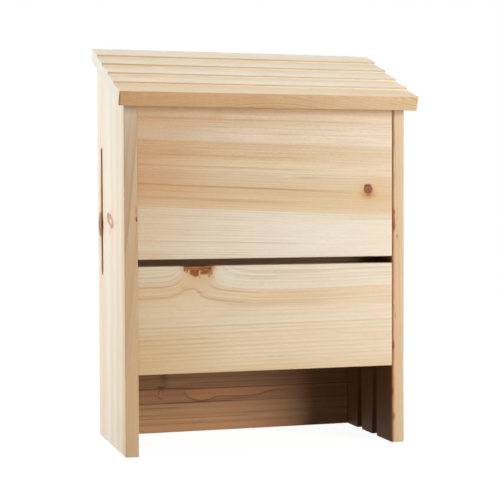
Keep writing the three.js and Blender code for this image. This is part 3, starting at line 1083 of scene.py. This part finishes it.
lower.stains(
    # Painted shade and light: the wide warm stains at the left end and the pale ones at the right end make
    # the board darker and more orange towards the left and paler towards the right.
    ((-135, 0, 93), (62, 60, 28), 0.55, (222, 178, 116)),
    ((-150, 0, 150), (95, 90, 60), 0.34, (228, 186, 130)),
    ((-43, 0, 174), (12, 60, 8), 0.6, (240, 232, 214)),
    ((60, 0, 152), (70, 60, 8), 0.35, (232, 196, 150)),
    ((118, 0, 132), (60, 90, 46), 0.25, (242, 227, 204)),
    ((95, 0, 104), (80, 90, 24), 0.18, (243, 230, 208)),
)
lower.lay_fibre(0.26, 0.12)

# %% [markdown]
# The big knot is painted from its halo inwards: soft yellow and brown, then red and dark wood in frayed
# patches with a mottle over them, then the checks and slivers, and last the border where the saw tore
# its arris, a dark band of painted shade with two light lines under it.

# %% Lower front board: big knot
lower.stains(
    ((-70, 0, 168.5), (18, 60, 6.5), 0.60, (222, 190, 146)),
    ((-70, 0, 176), (15, 60, 6), 0.65, (218, 168, 118)),
    ((-86, 0, 163.4), (6, 60, 2.6), 0.45, (230, 170, 124)),
)
lower.flecks(((-71.4, 158.4), (1.9, 1), 0.50, (176, 126, 90)))
lower.stains(((-68, 158), (3, 1.6), 0.35, (206, 160, 120)))
lower.flecks(
    ((-71, 183.6), (17, 7), 0.75, (198, 134, 78)),
    ((-71, 182), (15, 6), 0.80, (182, 108, 54)),
    ((-71.6, 180.6), (12.5, 4.4), 0.85, (162, 86, 34)),
    ((-75.4, 178.2), (5.2, 4.4), 0.85, (144, 66, 18)),
    ((-64.6, 178.8), (6, 3.2), 0.85, (145, 70, 20)),
    ((-74, 175.8), (3.6, 2.2), 0.80, (147, 68, 18)),
    ((-60.2, 177.4), (2.2, 2.6), 0.60, (176, 112, 64)),
)
lower.mottle((-71.0, 0, 181.5), (14.5, 20, 6.0), grain=(0.5, 0.5, 0.75), strength=0.75,
             dark=(108, 52, 16), light=(194, 114, 54))
lower.flecks(
    ((-76.5, 181.4), (4.4, 0.9), 0.60, (204, 138, 104)),
    ((-64, 180.2), (2.6, 0.7), 0.55, (196, 118, 84)),
    ((-75.5, 182), (7.5, 0.7), 0.85, (88, 42, 14)),
    ((-65, 182.5), (4, 0.7), 0.90, (88, 44, 20)),
    ((-81, 183.6), (4.5, 0.8), 0.85, (98, 56, 26)),
    ((-66.5, 184), (4.5, 0.7), 0.85, (98, 56, 26)),
    ((-60.4, 182.1), (1.9, 1.3), 0.90, (96, 44, 16)),
    ((-85.4, 181.4), (1, 2.6), 0.85, (116, 64, 28)),
    ((-83, 180.4), (0.6, 2.6), 0.75, (146, 82, 46)),
    ((-81.4, 178.6), (0.9, 1.8), 0.80, (232, 178, 138)),
    ((-70.6, 177.2), (0.8, 2.6), 0.85, (232, 172, 132)),
    ((-69, 179), (1, 0.8), 0.65, (212, 144, 112)),
    ((-70.4, 172.9), (0.5, 1), 0.50, (180, 126, 76)),
    ((-60.8, 174.2), (1.6, 1.5), 0.65, (166, 112, 58)),
    ((-58.2, 176.6), (1, 1.6), 0.60, (160, 104, 54)),
    ((-57, 172.6), (1.4, 0.7), 0.50, (190, 152, 112)),
)
# Painted shade along the torn top arris.
lower.flecks(((-72, 0, 184.3), (15, 9, 2.1), 0.85, (96, 48, 18)))
lower.stains(
    ((-74.6, 0, 182.7), (6, 3, 0.5), 0.7, (222, 168, 122)),
    ((-62.6, 0, 183), (3, 3, 0.5), 0.6, (218, 162, 120)),
)
lower_fir = lower.finish()

# %% Lower front board: wood
TORN_DEPTH = 0.9
DEEPEST = 0.5


def lower_relief(x, y, z):
    """Planing waves; the knot is sunk and cracked, and the saw tore its upper arris."""
    face = eased_step(y, front_face + 2.5, front_face + 0.2)
    in_knot = dish(x, z, (BIG_KNOT[0], BIG_KNOT[2]), (13.5, 10.5))
    rough = unevenness(x, z, (1.9, 1.3), 21)
    crack = bell(np.abs(unevenness(x, z, (3.4, 2.6), 22)), 0, 0.12)
    torn = np.clip(unevenness(x, y, (2.8, 1.8), 23), 0, 1) * eased_step(z, 181.5, 183.6)
    sunk = KNOT_SINK * (1 + 0.5 * rough + 1.6 * crack) + TORN_DEPTH * torn
    return face * np.minimum(PLANING * (1 + unevenness(x, z, (42, 3.2), 5)) + in_knot * sunk, DEEPEST)


front_board("lower_front_wood", "lower_front_panel", lambda y: lower_high[2], lower_relief,
            fine_along=(-92, -50), fine_across=(168, 185), material=lower_fir)

# %% [markdown]
# The two sides stand on end, so their grain runs upwards. Their faces are creamy with pale pink and
# yellow streaks. On their narrow front edges the rings come out at a steep slant. The left panel, which
# the camera sees, has two branch knots by its air slot, and the slot's wall has a painted shade of warm
# brown.

# %% Left side panel: figure
# The colour of the painted shade deep inside the box.
INNER_SHADE = (168, 132, 104)
EDGE_BROWN = (160, 118, 80)
SLOT_SHADE_BROWN = (146, 74, 14)
left = Board(
    "left_side_fir", SIDE_TURN, (0, outer_half, 0),
    rings=dict(Lean=1.6, Bow=0.01, Tilt=0.016, Wander=7.0),
    spacing=6.0, seed=1.7,
    zones=[
        (-124, 212, 187, 158), (-113, 214, 188, 158), (-111, 215, 182, 145), (-100, 211, 173, 133),
        (-98, 222, 193, 155), (-84, 219, 186, 145), (-70, 226, 201, 166), (-52, 226, 200, 164),
        (-36, 238, 223, 200), (-22, 232, 210, 186), (-10, 240, 226, 204), (10, 236, 217, 194),
        (26, 243, 232, 212), (40, 238, 222, 198), (54, 236, 216, 188), (80, 240, 224, 200),
    ],
    zone_span=(-130, 95),
)
LEFT_KNOT = (228.0, 0.0, 11.0)
SLOT_KNOT = (223.0, 0.0, 63.0)
left.part(LEFT_KNOT, (26, 60, 26), 5.0)
left.part(SLOT_KNOT, (26, 60, 16), 4.0)
left.slant(side_front, -0.21)
left.lay_zones()
left.lay_rings(0.28)
left.lines([
    (-98.6, 2.2, 1.0, 0.44, -FAR, FAR),
    (-112.0, 2.6, 1.2, 0.34, -FAR, FAR),
    (-80.0, 2.0, 1.0, 0.24, -FAR, FAR),
], EDGE_BROWN)
left.stains(
    ((40, 7, side_front - 2), (150, 30, 5), 0.78, (227, 184, 137)),
    ((400, 7, side_front - 2), (100, 30, 5), 0.60, (211, 180, 150)),
    ((275, 71), (44, 9), 0.65, (246, 214, 176)),
    ((385, 10), (105, 110), 0.60, (225, 216, 200)),
)
left.lay_fibre(0.16, 0.14)

# %% [markdown]
# Of the left panel's knots one lies on the open face, a pale oval with a broken rim, and one was cut
# through by the slot. At the same height a small dark mark sits on the front edge.

# %% Left side panel: knots and slot
left.stains(
    ((226, 8), (11, 24), 0.35, (238, 200, 168)),
    ((214, 2), (9, 9), 0.35, (238, 204, 172)),
)
left.knot(LEFT_KNOT, (6.6, 30, 15.0), heart=(216, 178, 146), rim=(166, 116, 82),
          halo=(234, 200, 172), halo_size=1.4, halo_strength=0.45, rim_strength=0.62,
          fray=(9.0, 0.11), lean=0.25)
left.flecks(
    ((233, 24), (3, 4.6), 0.70, (174, 118, 88)),
    ((230, 27), (3.6, 2.6), 0.55, (186, 134, 106)),
    ((227.4, 10), (2.2, 6), 0.80, (244, 220, 198)),
    ((226, -2), (3, 3), 0.60, (188, 134, 102)),
    ((221.6, 6), (2, 4.5), 0.55, (192, 142, 110)),
    ((216, 14), (4, 2.8), 0.35, (214, 172, 140)),
    ((226.6, -16), (2.2, 2.6), 0.45, (210, 170, 138)),
    ((224.8, -23), (2.6, 2), 0.35, (216, 180, 148)),
)
left.knot(SLOT_KNOT, (12.0, 40, 13.0), heart=(158, 116, 98), rim=(116, 72, 50),
          halo=(214, 168, 134), halo_size=1.3, halo_strength=0.7, rim_strength=0.6)
left.flecks(((231, 68), (6, 6), 0.7, (146, 118, 112)))
left.mottle(SLOT_KNOT, (11.0, 40, 11.0), grain=(0.3, 0.2, 0.12), strength=0.6,
            dark=(110, 66, 42), light=(196, 148, 120))
# Painted shade: the slot's wall and the face just behind its mouth are darkened to a warm brown.
left.stains(((237, 0, 63), (74, 9, 2.8), 0.60, (176, 106, 46)))
slot_wall_shade = times(smooth(left.depth, 0.1, 0.6), left.patch((237, 6, 57.2), (120, 90, 9)))
left.lay(SLOT_SHADE_BROWN, slot_wall_shade, 0.95)
left.flecks(((229.8, 11.9, side_front), (2.6, 0.9, 3), 0.9, (126, 74, 26)))
left.stains(((238, 12, side_front), (5, 1.4, 3), 0.5, (170, 126, 84)))
# Painted shade darkens the wood deep inside the box.
left.inside(7.0, side_front, side_back, INNER_SHADE)
left_fir = left.finish()

# %% [markdown]
# The right panel's narrow front edge is pale along its outer arris and more orange inside it. Along its
# inner arris the saw met the round of the log: this wane wanders, and bark and small knots sit in it.

# %% Right side panel: figure
WANE_GRAIN = (0.05, 0.2, 0.2)
WANE_DEPTHS = (-12.0, -9.3)
LOW_BARK = (186, 128, 82)
HIGH_BARK = (160, 116, 72)
right = Board(
    "right_side_fir", SIDE_TURN, (0, -outer_half, 0),
    rings=dict(Lean=1.4, Bow=0.01, Tilt=-0.012, Wander=7.0),
    spacing=5.0, seed=5.2,
    zones=[
        (-80, 222, 196, 160), (-62, 224, 196, 158), (-40, 230, 208, 174), (-10, 236, 218, 190),
        (25, 233, 210, 178), (60, 238, 221, 194), (85, 234, 213, 182),
    ],
    zone_span=(-85, 95),
)
right.slant(side_front, 0.05)
right.lay_zones()
right.lay_rings(0.32)
right.stains(
    ((200, -1, side_front), (900, 4.2, 5), 0.60, (222, 198, 164)),
    ((120, -8.4, side_front), (165, 3.2, 5), 0.50, (232, 178, 136)),
    ((400, -7, side_front), (150, 9, 5), 0.55, (216, 186, 155)),
)
right.lay_fibre(0.16, 0.14)
wane_depth = scaled(noise(right.place, WANE_GRAIN, 3.0, 0.6), *WANE_DEPTHS)
wane = smooth(minus(right.depth, wane_depth), 0.5, -0.7)
wane = times(wane, smooth(right.across, side_front + 4.0, side_front + 2.5))
right.lay(mixed(smooth(right.along, 130.0, 330.0), LOW_BARK, HIGH_BARK), wane, 0.9)
for (z, depth), (tall, wide), strength, colour in (
    ((228, -11.6), (13, 1.7), 0.85, (172, 104, 64)),
    ((221.4, -11.2), (5, 1.8), 0.80, (156, 84, 48)),
    ((235.6, -10.9), (3.2, 1.3), 0.75, (150, 92, 50)),
    ((210.8, -7.7), (1.8, 1.1), 0.85, (168, 120, 74)),
    ((138.7, -11.2), (2.4, 0.9), 0.45, (176, 120, 78)),
    ((129.5, -9.5), (3, 0.6), 0.60, (188, 128, 84)),
    ((99.5, -11.6), (5.5, 1.3), 0.75, (152, 84, 46)),
    ((53, -11.9), (4, 1.2), 0.60, (158, 92, 52)),
    ((26.5, -11.2), (4.4, 1.5), 0.75, (146, 88, 48)),
):
    right.flecks(((z, depth, side_front), (tall, wide, 6), strength, colour))
right.stains(((209, -7.7, side_front), (3.4, 2.4, 4), 0.4, (220, 176, 124)))
# Painted shade darkens the wood deep inside the box.
right.inside(-7.0, side_front + 3.0, side_back, INNER_SHADE)
right_fir = right.finish()

# %% [markdown]
# A side panel is its floor plan carried upwards: a plank with two grooves on its inner face. The top
# follows the roof, so each column is stretched to its own height. The air slot is cut as a router cuts
# it, by taking a long rounded bar out of the finished plank, and the result is kept as a plain mesh.

# %% Side panels: floor plan
HOUSING_DEPTH = 5.0
HOUSING_CLEARANCE = 0.4
HOUSING_ARRIS = 0.2
CLOSE_ARRIS = 0.25
WANE_ARRIS = 0.8


def side_section(sign):
    """The floor plan of a side panel, anticlockwise, with its two grooves."""
    groove = inner_half + HOUSING_DEPTH
    corners = [
        (inner_half, side_front), (outer_half, side_front), (outer_half, side_back), (inner_half, side_back)
    ]
    radii = [WANE_ARRIS if sign > 0 else CLOSE_ARRIS, ARRIS, ARRIS, ARRIS]
    for node in ("rear_baffle", "front_baffle"):
        low, high = box_of(node)
        near, far = low[1] - HOUSING_CLEARANCE, high[1] + HOUSING_CLEARANCE
        corners += [(inner_half, far), (groove, far), (groove, near), (inner_half, near)]
        radii += [HOUSING_ARRIS] * 4
    outline = eased(corners, radii) * (sign, 1)
    return outline if sign > 0 else outline[::-1]


# %% [markdown]
# The bar stands for the router. It has round ends, it flares at both faces, so that the slot's mouth
# comes out rubbed round, and it is a little wider where the left panel's knot chipped.

# %% Air slot: bar
SLOT_WIDTH = 8.0
SLOT_LENGTH = 132.0
SLOT_FOOT = 171.0
SLOT_SETBACK = 10.0
SLOT_ARRIS = 1.3
CHIP = 1.1
OVERRUN = 4.0
slot_middle = box_of("back_panel")[0][1] - SLOT_SETBACK


def slot_bar(sign):
    """A bar with rounded ends, carried across the plank, that flares like a quarter round at both faces."""
    turn = np.linspace(0, 2 * math.pi, 48, endpoint=False)
    radius = SLOT_WIDTH / 2
    straight = SLOT_LENGTH / 2 - radius
    y = slot_middle + radius * np.cos(turn)
    z = SLOT_FOOT + SLOT_LENGTH / 2 + radius * np.sin(turn) + straight * np.sign(np.sin(turn + 0.001))
    outline = filled(np.column_stack([y, z]), 2.0, 1.0, (0, 0), (0, 0))
    chipped = CHIP * bell(outline[:, 1], SLOT_KNOT[0], 9) * (sign < 0)
    outline[:, 0] += np.sign(outline[:, 0] - slot_middle) * chipped
    turn = np.linspace(0, math.pi / 2, 5)
    depth = np.concatenate([[-OVERRUN], SLOT_ARRIS * (1 - np.cos(turn))])
    flare = np.concatenate([[SLOT_ARRIS], SLOT_ARRIS * (1 - np.sin(turn))])
    across = np.concatenate([inner_half + depth, (outer_half - depth)[::-1]]) * sign
    flare = np.concatenate([flare, flare[::-1]])
    flat = outline[None] + outward(outline)[None] * flare[:, None, None]
    return np.dstack([np.broadcast_to(across[:, None], flat.shape[:2]), flat])


# %% [markdown]
# Both panels are carried, cut and given their relief by one function each. The reliefs differ: the left
# one has sunk knots, and the right one a waney arris with a few notches in it.

# %% Side panels: wood
WANE = 0.15
WANE_REACH = 1.6
WANE_NOTCH = 0.35


def side_board(name, node, sign, relief, material):
    """A side panel with its top edge on the roof's slope and its air slot cut through."""
    near, far = sorted((sign * (inner_half - 1), sign * (inner_half + 4)))
    plan = side_section(sign)
    section = filled(plan, LONG_STEP, FINE_STEP, (near, side_front - 1), (far, side_front + 4))
    front_height = side_top(side_front)
    along = stations(0.0, front_height, LONG_STEP, LONG_STEP / 2, 0.0, front_height)
    flat = carried(section, along, relief)
    rise = along[:, None] * side_top(flat[..., 1]) / front_height
    mesh = board_mesh(name, np.dstack([flat, rise]))
    plank = bpy.data.objects.new(name + "_plank", mesh)
    bar = bpy.data.objects.new(name + "_bar", board_mesh(name + "_bar", slot_bar(sign)))
    for thing in (plank, bar):
        bpy.context.scene.collection.objects.link(thing)
    cut = plank.modifiers.new("slot", "BOOLEAN")
    cut.operation, cut.solver, cut.object = "DIFFERENCE", "EXACT", bar
    whole = bpy.data.meshes.new_from_object(plank.evaluated_get(bpy.context.evaluated_depsgraph_get()))
    for thing in (plank, bar):
        bpy.data.objects.remove(thing)
    whole.name = name
    board_piece(name, whole, node, material)


def left_relief(z, x, y):
    """Planing waves on the outer face, with the two knots a little sunk."""
    face = eased_step(x, -outer_half + 1.5, -outer_half + 0.2)
    knots = dish(z, y, (LEFT_KNOT[0], LEFT_KNOT[2]), (8, 17))
    knots = knots + dish(z, y, (SLOT_KNOT[0], SLOT_KNOT[2]), (12, 11))
    rough = unevenness(z, y, (4, 4), 31)
    return face * (PLANING * (1 + unevenness(z, y, (40, 6), 32)) + knots * KNOT_SINK * (1 + 0.5 * rough))


def right_relief(z, x, y):
    """Planing waves on the outer face, and the wandering wane along the inner front arris."""
    face = eased_step(x, outer_half - 1.5, outer_half - 0.2)
    corner = np.exp(-((x - inner_half) ** 2 + (y - side_front) ** 2) / WANE_REACH**2)
    wander = 1 + 0.5 * unevenness(z, 0 * y, (19, 1), 41) + 0.3 * unevenness(z, 0 * y, (5, 1), 42)
    notches = WANE_NOTCH * (bell(z, 99.5, 5) + bell(z, 53.0, 4) + bell(z, 26.5, 4) + bell(z, 226, 8))
    return face * PLANING * (1 + unevenness(z, y, (40, 6), 43)) + corner * (WANE * wander + notches)


side_board("left_side_wood", "left_side_panel", -1, left_relief, left_fir)
side_board("right_side_wood", "right_side_panel", 1, right_relief, right_fir)

# %% [markdown]
# The roof is one thick board, milled so that its top looks like five courses of shingles. Its material
# is turned by the pitch of the roof, so that its figure lies in the slope. Each course is greyish in its
# middle and golden towards its rounded nose, and the front face shows tan heartwood, painted darker
# towards the left as painted shade.

# %% Roof board: figure
HEARTWOOD = (224, 186, 139)
SHADED_LEFT_TAN = (209, 156, 105)
GREY_END = (223, 217, 206)
ROOF_THICKNESS = 14.8
COURSES = 5
COURSE_STEP = 2.7
NOSE_RADIUS = 0.9
COVE_RADIUS = 1.3
ARCH_ROUND = 40.0
ARCH_STEEP = 0.33
SAW_GRAIN = (0.55, 0.02, 0.02)
SAW_TONES = (0.93, 1.07)
course_foot = ROOF_THICKNESS - COURSE_STEP
roof_back = roof_high[1] - roof_foot[0]


def plumb(up):
    """How far up the slope the plumb back edge lies, at a height above the roof's underside."""
    return (roof_back + up * math.sin(ROOF_PITCH)) / math.cos(ROOF_PITCH)


course_length = plumb(course_foot) / COURSES
slope_foot = roof_foot[0] * math.cos(ROOF_PITCH) + roof_foot[1] * math.sin(ROOF_PITCH)
slope_top = roof_foot[1] * math.cos(ROOF_PITCH) - roof_foot[0] * math.sin(ROOF_PITCH) + ROOF_THICKNESS
roof = Board(
    "roof_fir", (math.radians(90) - ROOF_PITCH, 0, 0), (0, slope_top, -slope_foot),
    rings=dict(Lean=0.5, Bow=0.006, Tilt=0.01, Wander=3.0),
    spacing=4.6, seed=2.4,
    zones=[
        (-10, 234, 212, 176), (12, 235, 214, 180), (30, 240, 220, 188), (36, 243, 230, 208),
        (60, 240, 224, 198), (68, 241, 229, 208), (95, 237, 220, 192), (102, 237, 223, 200),
        (128, 234, 217, 189), (136, 225, 214, 192), (165, 226, 213, 188),
    ],
    zone_span=(-15, 175),
)
on_butt = smooth(roof.across, 0.6, 0.1)
arch = maths("SQRT", maths("MULTIPLY_ADD", roof.along, roof.along, ARCH_ROUND**2))
arched = maths("MULTIPLY_ADD", arch, -ARCH_STEEP, roof.depth)
roof.height = maths("MULTIPLY_ADD", arched, on_butt, roof.height)
roof.lay_zones()
roof.lay(HEARTWOOD, on_butt, 0.55)
# Painted shade: the front face grows darker and warmer towards the left.
roof.lay(SHADED_LEFT_TAN, on_butt, smooth(roof.along, 190.0, -150.0), 0.75)
roof.lay_rings(0.55, where=scaled(on_butt, 0.55, 1.0))
roof.stains(((-110, 5, 20), (70, 90, 70), 0.30, (236, 200, 148)))
# Painted shade on the upper half of each riser, and a painted highlight at its foot.
for course in range(1, COURSES):
    butt = course * course_length
    roof.stains(
        ((0, 2.5, butt - 0.4), (900, 0.9, 1.8), 0.70, (254, 236, 202)),
        ((0, 1.1, butt), (900, 0.75, 0.9), 0.60, (150, 110, 66)),
    )
roof.stains(((-roof_high[0], 8, 0), (1.3, 9, 0.8), 0.75, (110, 74, 40)))
roof.lay_fibre(scaled(on_butt, 0.20, 0.34), 0.13)
saw = scaled(noise(roof.place, SAW_GRAIN, 2.0, 0.6), *SAW_TONES)
roof.colour = vectors("MULTIPLY", roof.colour, scaled(on_butt, 1.0, saw))
roof_fir = roof.finish(end_tone=GREY_END, end_blend="MIX")

# %% Roof board: wood
CUTTER_WAVES = 0.12
SAW_WAVES = 0.015


def roof_section():
    """The roof's side view in its slope: underside, plumb back edge, five noses, a cove under each."""
    corners = [(0, 0), (plumb(0), 0), (plumb(course_foot), course_foot)]
    radii = [ARRIS, ARRIS, ARRIS]
    for course in reversed(range(COURSES)):
        corners.append((course * course_length, ROOF_THICKNESS))
        radii.append(NOSE_RADIUS)
        if course:
            corners.append((course * course_length, course_foot))
            radii.append(COVE_RADIUS)
    return eased(corners, radii, 7)


def roof_relief(x, slope, up):
    """The cutter's slow waves on the courses, and the saw's fine ones on the front butt."""
    top = eased_step(up, course_foot - 3, course_foot)
    milled = CUTTER_WAVES * (1 + unevenness(x, slope, (55, 9), 51)) * top
    sawn = SAW_WAVES * (1 + unevenness(x, up, (1.6, 30), 52)) * eased_step(slope, 0.5, 0.0)
    return milled + sawn


half_width = roof_high[0]
section = filled(roof_section(), SHORT_STEP, SHORT_STEP / 2, (-1, -1), (0.5, ROOF_THICKNESS))
along = stations(-half_width, half_width, LONG_STEP / 2, LONG_STEP / 2, 0, 0)
flat = carried(section, along, roof_relief)
slope, up = flat[..., 0], flat[..., 1]
places = np.dstack([
    np.broadcast_to(along[:, None], slope.shape),
    roof_foot[0] + slope * math.cos(ROOF_PITCH) - up * math.sin(ROOF_PITCH),
    roof_foot[1] + slope * math.sin(ROOF_PITCH) + up * math.cos(ROOF_PITCH),
])
board_piece("roof_wood", board_mesh("roof_wood", places), "roof_board", roof_fir)

# %% [markdown]
# The back is seen only by the light that finds its way in, so its figure is drawn stronger, and its
# face inside the box is painted dark brown as painted shade; away from that face it is paler. It has a
# flame of heartwood between two dark lines and a small knot at its left. The flame's two borders are
# curves through a few points.

# %% Back panel: figure
DARK_LINE = (96, 52, 24)
BACK_GOLD = (130, 80, 44)
FLAME_BORDER = (126, 78, 44)
FLAME = (218, 152, 96)
UNSHADED_BACK = (233, 207, 170)
back_face = box_of("back_panel")[0][1]
back = Board(
    "back_fir", FRONT_TURN, (0, -back_face, 0),
    rings=dict(Lean=0.4, Bow=0.005, Tilt=0.0, Wander=2.0),
    spacing=7.5, seed=4.4,
    # These dark brown zones are painted shade for the inside of the box.
    zones=[
        (0, 206, 152, 104), (14, 212, 161, 113), (30, 205, 154, 106), (33, 194, 139, 95),
        (46, 190, 135, 91), (49, 182, 131, 88), (70, 190, 137, 92), (200, 206, 157, 110),
        (410, 204, 153, 106),
    ],
    zone_span=(-10, 420),
)
back.lay_zones()
back.lay_rings(0.42, BACK_GOLD)
flame_top = [(-60, 43.0), (-52.6, 46.2), (-40, 46.0), (0, 45.2), (60, 45.4), (132, 46.0)]
flame_foot = [
    (-60, 43.0), (-54.5, 42.4), (-52.2, 39.3), (-46.3, 35.3), (-35.9, 33.2), (-27.4, 34.3), (-19, 37.0),
    (2.3, 36.4), (28, 37.4), (38.9, 40.6), (51.9, 41.7), (132, 43.0),
]
FLAME_TALL = 50.0
above_foot = minus(back.across, back.curve(back.along, flame_foot, FLAME_TALL))
below_top = minus(back.curve(back.along, flame_top, FLAME_TALL), back.across)
flame = times(smooth(above_foot, -0.3, 0.9), smooth(below_top, -0.2, 0.6),
              smooth(back.along, -55.5, -53.5))
outline = times(smooth(above_foot, -3.0, -0.4), smooth(above_foot, 0.7, -0.2),
                smooth(back.along, -58.0, -55.0), smooth(back.along, 70.0, 30.0))
back.lay(FLAME_BORDER, outline, 0.62)
back.lay(FLAME, flame, 0.6)
back.lines([
    (47.2, 1.3, 0.5, 0.72, -FAR, -45),
    (46.0, 0.9, 0.5, 0.72, -60, FAR),
    (31.4, 1.1, 0.5, 0.55, -FAR, -84),
    (31.6, 1.1, 0.6, 0.90, -84, 2),
    (31.2, 0.9, 0.5, 0.50, -5, FAR),
    (33.6, 0.8, 0.4, 0.50, -30, 22),
    (26.5, 0.6, 0.4, 0.45, -FAR, -60),
    (21.0, 0.6, 0.4, 0.25, -80, 60),
    (14.8, 0.8, 0.4, 0.45, -FAR, 20),
    (9.0, 1.2, 0.6, 0.25, -FAR, 80),
    (52.0, 0.8, 0.5, 0.40, -FAR, FAR),
    (58.0, 1.0, 0.6, 0.35, -FAR, FAR),
    (66.0, 1.0, 0.6, 0.30, -FAR, FAR),
], DARK_LINE)
back.stains(((-66, 0, 53), (20, 40, 2.2), 0.35, (206, 176, 122)))
back.lay_fibre(0.45, 0.2)
back.knot((-81.0, 5.0, 41.2), (2.8, 40, 5.2), heart=(222, 160, 108), rim=(132, 78, 48),
          halo=(196, 134, 90), halo_size=1.6, halo_strength=0.5, rim_strength=0.8)
back.stains(
    ((-80.5, 5, 48.2), (6, 40, 1.8), 0.85, (74, 38, 16)),
    ((-77.8, 5, 60), (4.2, 40, 9), 0.65, (104, 68, 36)),
)
# Away from the inner face the wood loses the painted shade and is paler.
back.lay(UNSHADED_BACK, smooth(back.depth, 0.5, 2.0), 0.6)
dress(back.finish(), "back_panel")

# %% [markdown]
# The two baffles stand in their grooves and part the chambers. They are plain fir, given a dark brown
# of painted shade, and the front boards hide them from the camera.

# %% Baffles: figure
baffle = Board(
    "baffle_fir", FRONT_TURN, (0, 0, 0),
    rings=dict(Lean=0.4, Bow=0.004, Tilt=0.01, Wander=6.0),
    spacing=5.5, seed=8.8,
    # Painted shade: dark brown zones for the shade between the chambers.
    zones=[
        (80, 152, 110, 76), (150, 156, 116, 80), (230, 148, 106, 72), (300, 156, 116, 82),
        (360, 154, 112, 78),
    ],
    zone_span=(70, 370),
)
baffle.lay_zones()
baffle.lay_rings(0.5)
baffle.lay_fibre(0.14, 0.14)
dress(baffle.finish(), "front_baffle", "rear_baffle")

# %% [markdown]
# Panel pins hold the boards. Their small heads sit just under the surface. They are bright drawn steel
# that has gone a little dull, so one noise clouds both the colour and the roughness.

# %% Pins
STEEL_GRAIN = (1.4 * MM,) * 3
DULL_STEEL = (150, 146, 140)
BRIGHT_STEEL = (190, 188, 184)
STEEL_ROUGHNESS = (0.3, 0.55)


def pin_steel():
    """Drawn steel, clouded in colour and roughness."""
    material = bpy.data.materials.new("pin_steel")
    material.use_nodes = True
    tree = material.node_tree
    cloud = noise(add(tree, "ShaderNodeTexCoord").outputs["Object"], STEEL_GRAIN, 3.0, 0.6)
    feed(tree.nodes["Principled BSDF"], Metallic=1.0, Base_Color=mixed(cloud, DULL_STEEL, BRIGHT_STEEL),
         Roughness=scaled(cloud, *STEEL_ROUGHNESS))
    return material


pins = sorted(name for name in nodes if name.startswith("pin_"))
dress(pin_steel(), *pins)
print("pins:", len(pins))
